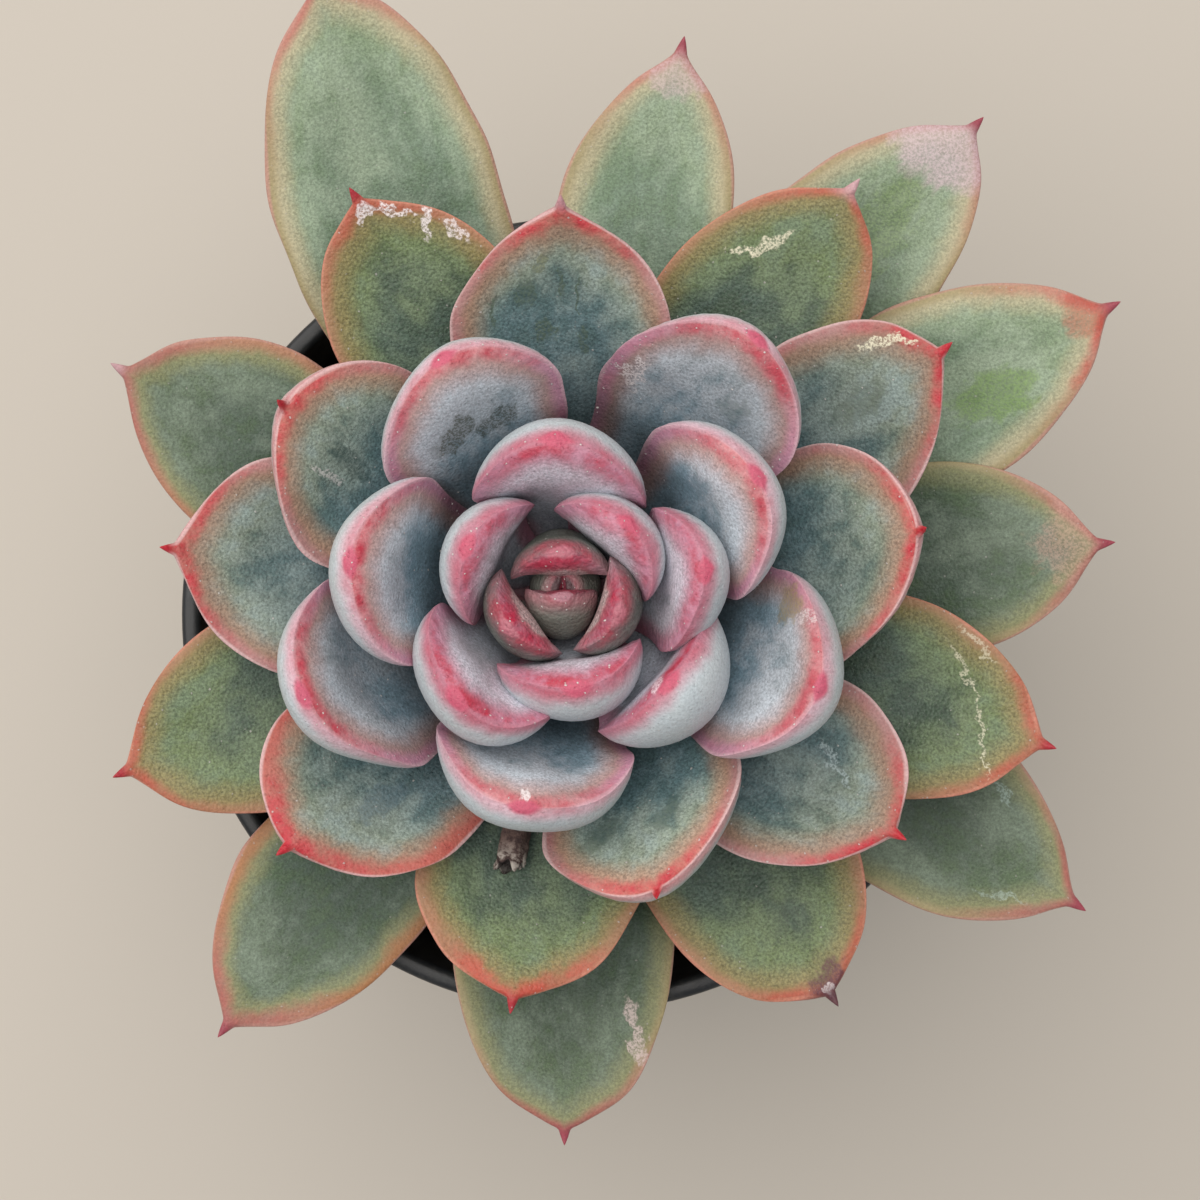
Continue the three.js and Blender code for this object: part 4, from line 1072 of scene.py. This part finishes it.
class ECHEVERIA_OT_stem(bpy.types.Operator):
    """The short woody stem with the scars of old leaves, and the dry stub of a flower stalk."""

    bl_idname = "echeveria.stem"
    bl_label = "Stem and dry stalk"

    def execute(self, context):
        self.make_stem()
        self.make_stalk()
        return {"FINISHED"}

    def make_stem(self):
        """A round body from the root end to the crown, ringed by ripples about 3 mm apart."""
        ages = np.linspace(0, 1, 40)
        roots, heights = root_place(ages)
        crown = zip(roots * CROWN_SHARE - CROWN_INSET, RIM_HEIGHT + heights)
        neck = [(NECK_RADIUS, height) for height in np.linspace(NECK_LOW, NECK_TOP, 20)]
        foot = [(0, STEM_FOOT), (STEM_FOOT_RADIUS, STEM_FOOT)]
        profile = [*foot, *neck, *crown, (0, RIM_HEIGHT + ROOT_HIGHEST)]
        points, faces = turned(profile, STEM_SIDES)
        spin = np.arctan2(points[:, 1], points[:, 0])
        out = np.hypot(points[:, 0], points[:, 1])
        scar = 0.22 * np.sin(points[:, 2] * 2 + 2 * np.sin(3 * spin))
        scar = scar + 0.15 * ripples(out * spin, points[:, 2], 2.0, 3)
        points[:, :2] *= (1 + (scar - 0.37) / np.maximum(out, 1) * (out > 1))[:, None]
        points += np.array([*ROSETTE_AXIS, 0])
        bark = Finish("stem_bark")
        place = bark.add("TexCoord").outputs["Object"]
        rings = bark.noise(bark.stretch(place, (1, 1, 3)), 260.0, 5.0, 0.65)
        tone = bark.mix(bark.smooth(rings, 0.35, 0.65), paint(94, 84, 58), paint(136, 126, 92))
        material = bark.finish(base_color=tone, roughness=0.75, normal=bark.bump(rings, 0.6, 0.0005))
        take_place(mesh_from("woody_stem", points, faces, material), "stem")

    def make_stalk(self):
        """A wrinkled tube along the route whose ragged end turns back inside itself."""
        outward, across, up = directions(STALK_BEARING)
        route = np.array(STALK_ROUTE)
        walk = np.concatenate([np.linspace(0, 1, STALK_RINGS), np.linspace(0.995, 0.93, HOLLOW_RINGS)])
        inward = np.concatenate([np.ones(STALK_RINGS), np.linspace(0.8, 0.45, HOLLOW_RINGS)])
        knots = np.linspace(0, 1, len(route))
        distance = np.polyval(np.polyfit(knots, route[:, 0], 3), walk)
        height = np.polyval(np.polyfit(knots, route[:, 1], 3), walk)
        radius = np.interp(walk, np.linspace(0, 1, len(STALK_RADII)), STALK_RADII) * inward
        phi = np.linspace(0, 2 * np.pi, STALK_SIDES, endpoint=False)[None, :]
        wrinkle = 1 + 0.07 * np.sin(5 * phi + 2 * walk[:, None])
        wrinkle = wrinkle + 0.06 * ripples(phi * 1.3, walk[:, None] * 30, 1.6, 9)
        radius = radius[:, None] * wrinkle
        ragged = 0.4 * ripples(phi * 1.2, 0 * phi, 1.3, 4) * smooth_step(walk, 0.9, 1)[:, None]
        middle = np.array([*ROSETTE_AXIS, RIM_HEIGHT]) + distance[:, None] * outward + height[:, None] * up
        tangent = np.gradient(middle[:STALK_RINGS], axis=0)
        tangent = np.concatenate([tangent, np.repeat(tangent[-1:], HOLLOW_RINGS, 0)])
        tangent /= np.linalg.norm(tangent, axis=1, keepdims=True)
        front = np.cross(tangent, across)
        ring = np.cos(phi)[..., None] * across + np.sin(phi)[..., None] * front[:, None]
        along = ragged - 0.5 * smooth_step(walk, 0.9, 1)[:, None]
        points = middle[:, None] + radius[..., None] * ring + along[..., None] * tangent[:, None]
        rings = len(walk)
        count = rings * STALK_SIDES
        body = np.concatenate([points.reshape(-1, 3), middle[:1], points[-1:].mean(1)])
        faces = tube_faces(rings, STALK_SIDES, count, count + 1)
        # The first field marks the pale dry crust at the end, the stalk's own colour; the second marks the
        # rings inside the open end, which are painted near black as shade
        end = np.repeat(smooth_step(walk, 0.8, 1)[:, None], STALK_SIDES, 1)
        hollow_shade_mask = np.repeat((np.arange(rings) >= STALK_RINGS).astype(float)[:, None], STALK_SIDES, 1)
        fields = np.stack([end, hollow_shade_mask, 0 * end], -1).reshape(-1, 3)
        fields = np.concatenate([fields, fields[:1], fields[-1:]])
        husk = Finish("dry_husk")
        place = husk.add("TexCoord").outputs["Object"]
        worn_and_hollow_shade = husk.add("Attribute", attribute_name="wear_and_hollow_shade").outputs["Vector"]
        wear_and_hollow_shade = husk.add("SeparateXYZ", {0: worn_and_hollow_shade})
        fibre = husk.noise(place, 900.0, 5.0, 0.7)
        crust = husk.times(husk.smooth(fibre, 0.44, 0.58), wear_and_hollow_shade.outputs[0])
        tone = husk.mix(husk.smooth(fibre, 0.3, 0.7), paint(58, 42, 42), paint(120, 96, 88))
        tone = husk.mix(husk.times(crust, 0.85), tone, paint(206, 198, 188))
        # Painted shade: the inside of the open end is painted near black
        tone = husk.mix(husk.times(wear_and_hollow_shade.outputs[1], 0.85), tone, paint(26, 20, 20))
        material = husk.finish(base_color=tone, roughness=0.85, normal=husk.bump(fibre, 0.9, 0.0004))
        stalk = mesh_from("dry_stalk", body, faces, material, {"wear_and_hollow_shade": fields})
        take_place(stalk, "dry_flower_stalk")


class ECHEVERIA_OT_stage(bpy.types.Operator):
    """Floor, soft light and the camera straight above the plant."""

    bl_idname = "echeveria.stage"
    bl_label = "Stage"

    def execute(self, context):
        look = context.scene.echeveria_stage
        floor_skin = Finish("pale_floor")
        material = floor_skin.finish(base_color=tuple(look.floor_colour), roughness=0.8)
        half = FLOOR_HALF
        corners = [(-half, -half, 0), (half, -half, 0), (half, half, 0), (-half, half, 0)]
        floor = mesh_from("floor", corners, [(0, 1, 2, 3)], material)

        world = bpy.data.worlds.new("soft_sky")
        world.use_nodes = True
        background = world.node_tree.nodes["Background"]
        background.inputs["Color"].default_value = paint(238, 240, 242)
        background.inputs["Strength"].default_value = look.sky
        context.scene.world = world

        lamp = bpy.data.lights.new("window", "AREA")
        lamp.shape = "DISK"
        lamp.size = LAMP_SIZE
        lamp.energy = look.window
        lamp.color = paint(255, 250, 244)[:3]
        window = bpy.data.objects.new("window", lamp)
        window.location = LAMP_PLACE
        window.rotation_euler = np.radians(LAMP_TILT)
        context.scene.collection.objects.link(window)

        lens = bpy.data.cameras.new("camera")
        lens.sensor_width = SENSOR_WIDTH
        lens.lens = FOCAL_LENGTH
        camera = bpy.data.objects.new("camera", lens)
        x, y = CAMERA_ASIDE
        camera.location = (x * MM, y * MM, RIM_HEIGHT * MM + look.camera_height)
        context.scene.collection.objects.link(camera)
        context.scene.camera = camera
        context.scene.view_settings.view_transform = "Standard"
        return {"FINISHED"}


class ECHEVERIA_OT_outer_leaves(bpy.types.Operator):
    """The nine flat green leaves of the outermost turn."""

    bl_idname = "echeveria.outer_leaves"
    bl_label = "Outer leaves"

    def execute(self, context):
        grow_leaves(context.scene.echeveria_rosette, 1, FIRST_LOWER - 1)
        return {"FINISHED"}


class ECHEVERIA_OT_middle_leaves(bpy.types.Operator):
    """The middle turns, green below and blue-grey above, with red margins."""

    bl_idname = "echeveria.middle_leaves"
    bl_label = "Middle leaves"

    def execute(self, context):
        grow_leaves(context.scene.echeveria_rosette, FIRST_LOWER, FIRST_CUPPED - 1)
        return {"FINISHED"}


class ECHEVERIA_OT_inner_leaves(bpy.types.Operator):
    """The cupped leaves and the bud in the heart of the rosette."""

    bl_idname = "echeveria.inner_leaves"
    bl_label = "Inner leaves"

    def execute(self, context):
        grow_leaves(context.scene.echeveria_rosette, FIRST_CUPPED, len(LEAVES))
        return {"FINISHED"}


LOOKS = {
    "echeveria_pot": PotLook,
    "echeveria_soil": SoilLook,
    "echeveria_rosette": RosetteLook,
    "echeveria_stage": StageLook,
}
OPERATORS = (
    ECHEVERIA_OT_stage,
    ECHEVERIA_OT_pot,
    ECHEVERIA_OT_soil,
    ECHEVERIA_OT_stem,
    ECHEVERIA_OT_outer_leaves,
    ECHEVERIA_OT_middle_leaves,
    ECHEVERIA_OT_inner_leaves,
)


class ECHEVERIA_PT_panel(bpy.types.Panel):
    """Lists the pieces of the plant and their sizes and colours."""

    bl_label = "Echeveria"
    bl_space_type = "VIEW_3D"
    bl_region_type = "UI"
    bl_category = "Echeveria"

    def draw(self, context):
        for name, look in LOOKS.items():
            for title in look.__annotations__:
                self.layout.prop(getattr(context.scene, name), title)
        for operator in OPERATORS:
            self.layout.operator(operator.bl_idname)


def register():
    """Makes the classes known, and hangs the sizes and colours on the scene."""
    for look in LOOKS.values():
        bpy.utils.register_class(look)
    for name, look in LOOKS.items():
        setattr(bpy.types.Scene, name, PointerProperty(type=look))
    for thing in (*OPERATORS, ECHEVERIA_PT_panel):
        bpy.utils.register_class(thing)


def unregister():
    """Takes back what register did."""
    for thing in (ECHEVERIA_PT_panel, *reversed(OPERATORS)):
        bpy.utils.unregister_class(thing)
    for name in LOOKS:
        delattr(bpy.types.Scene, name)
    for look in LOOKS.values():
        bpy.utils.unregister_class(look)


def main():
    """Builds every piece in order."""
    register()
    for operator in OPERATORS:
        getattr(bpy.ops.echeveria, operator.bl_idname.split(".")[1])()


if __name__ == "__main__":
    main()
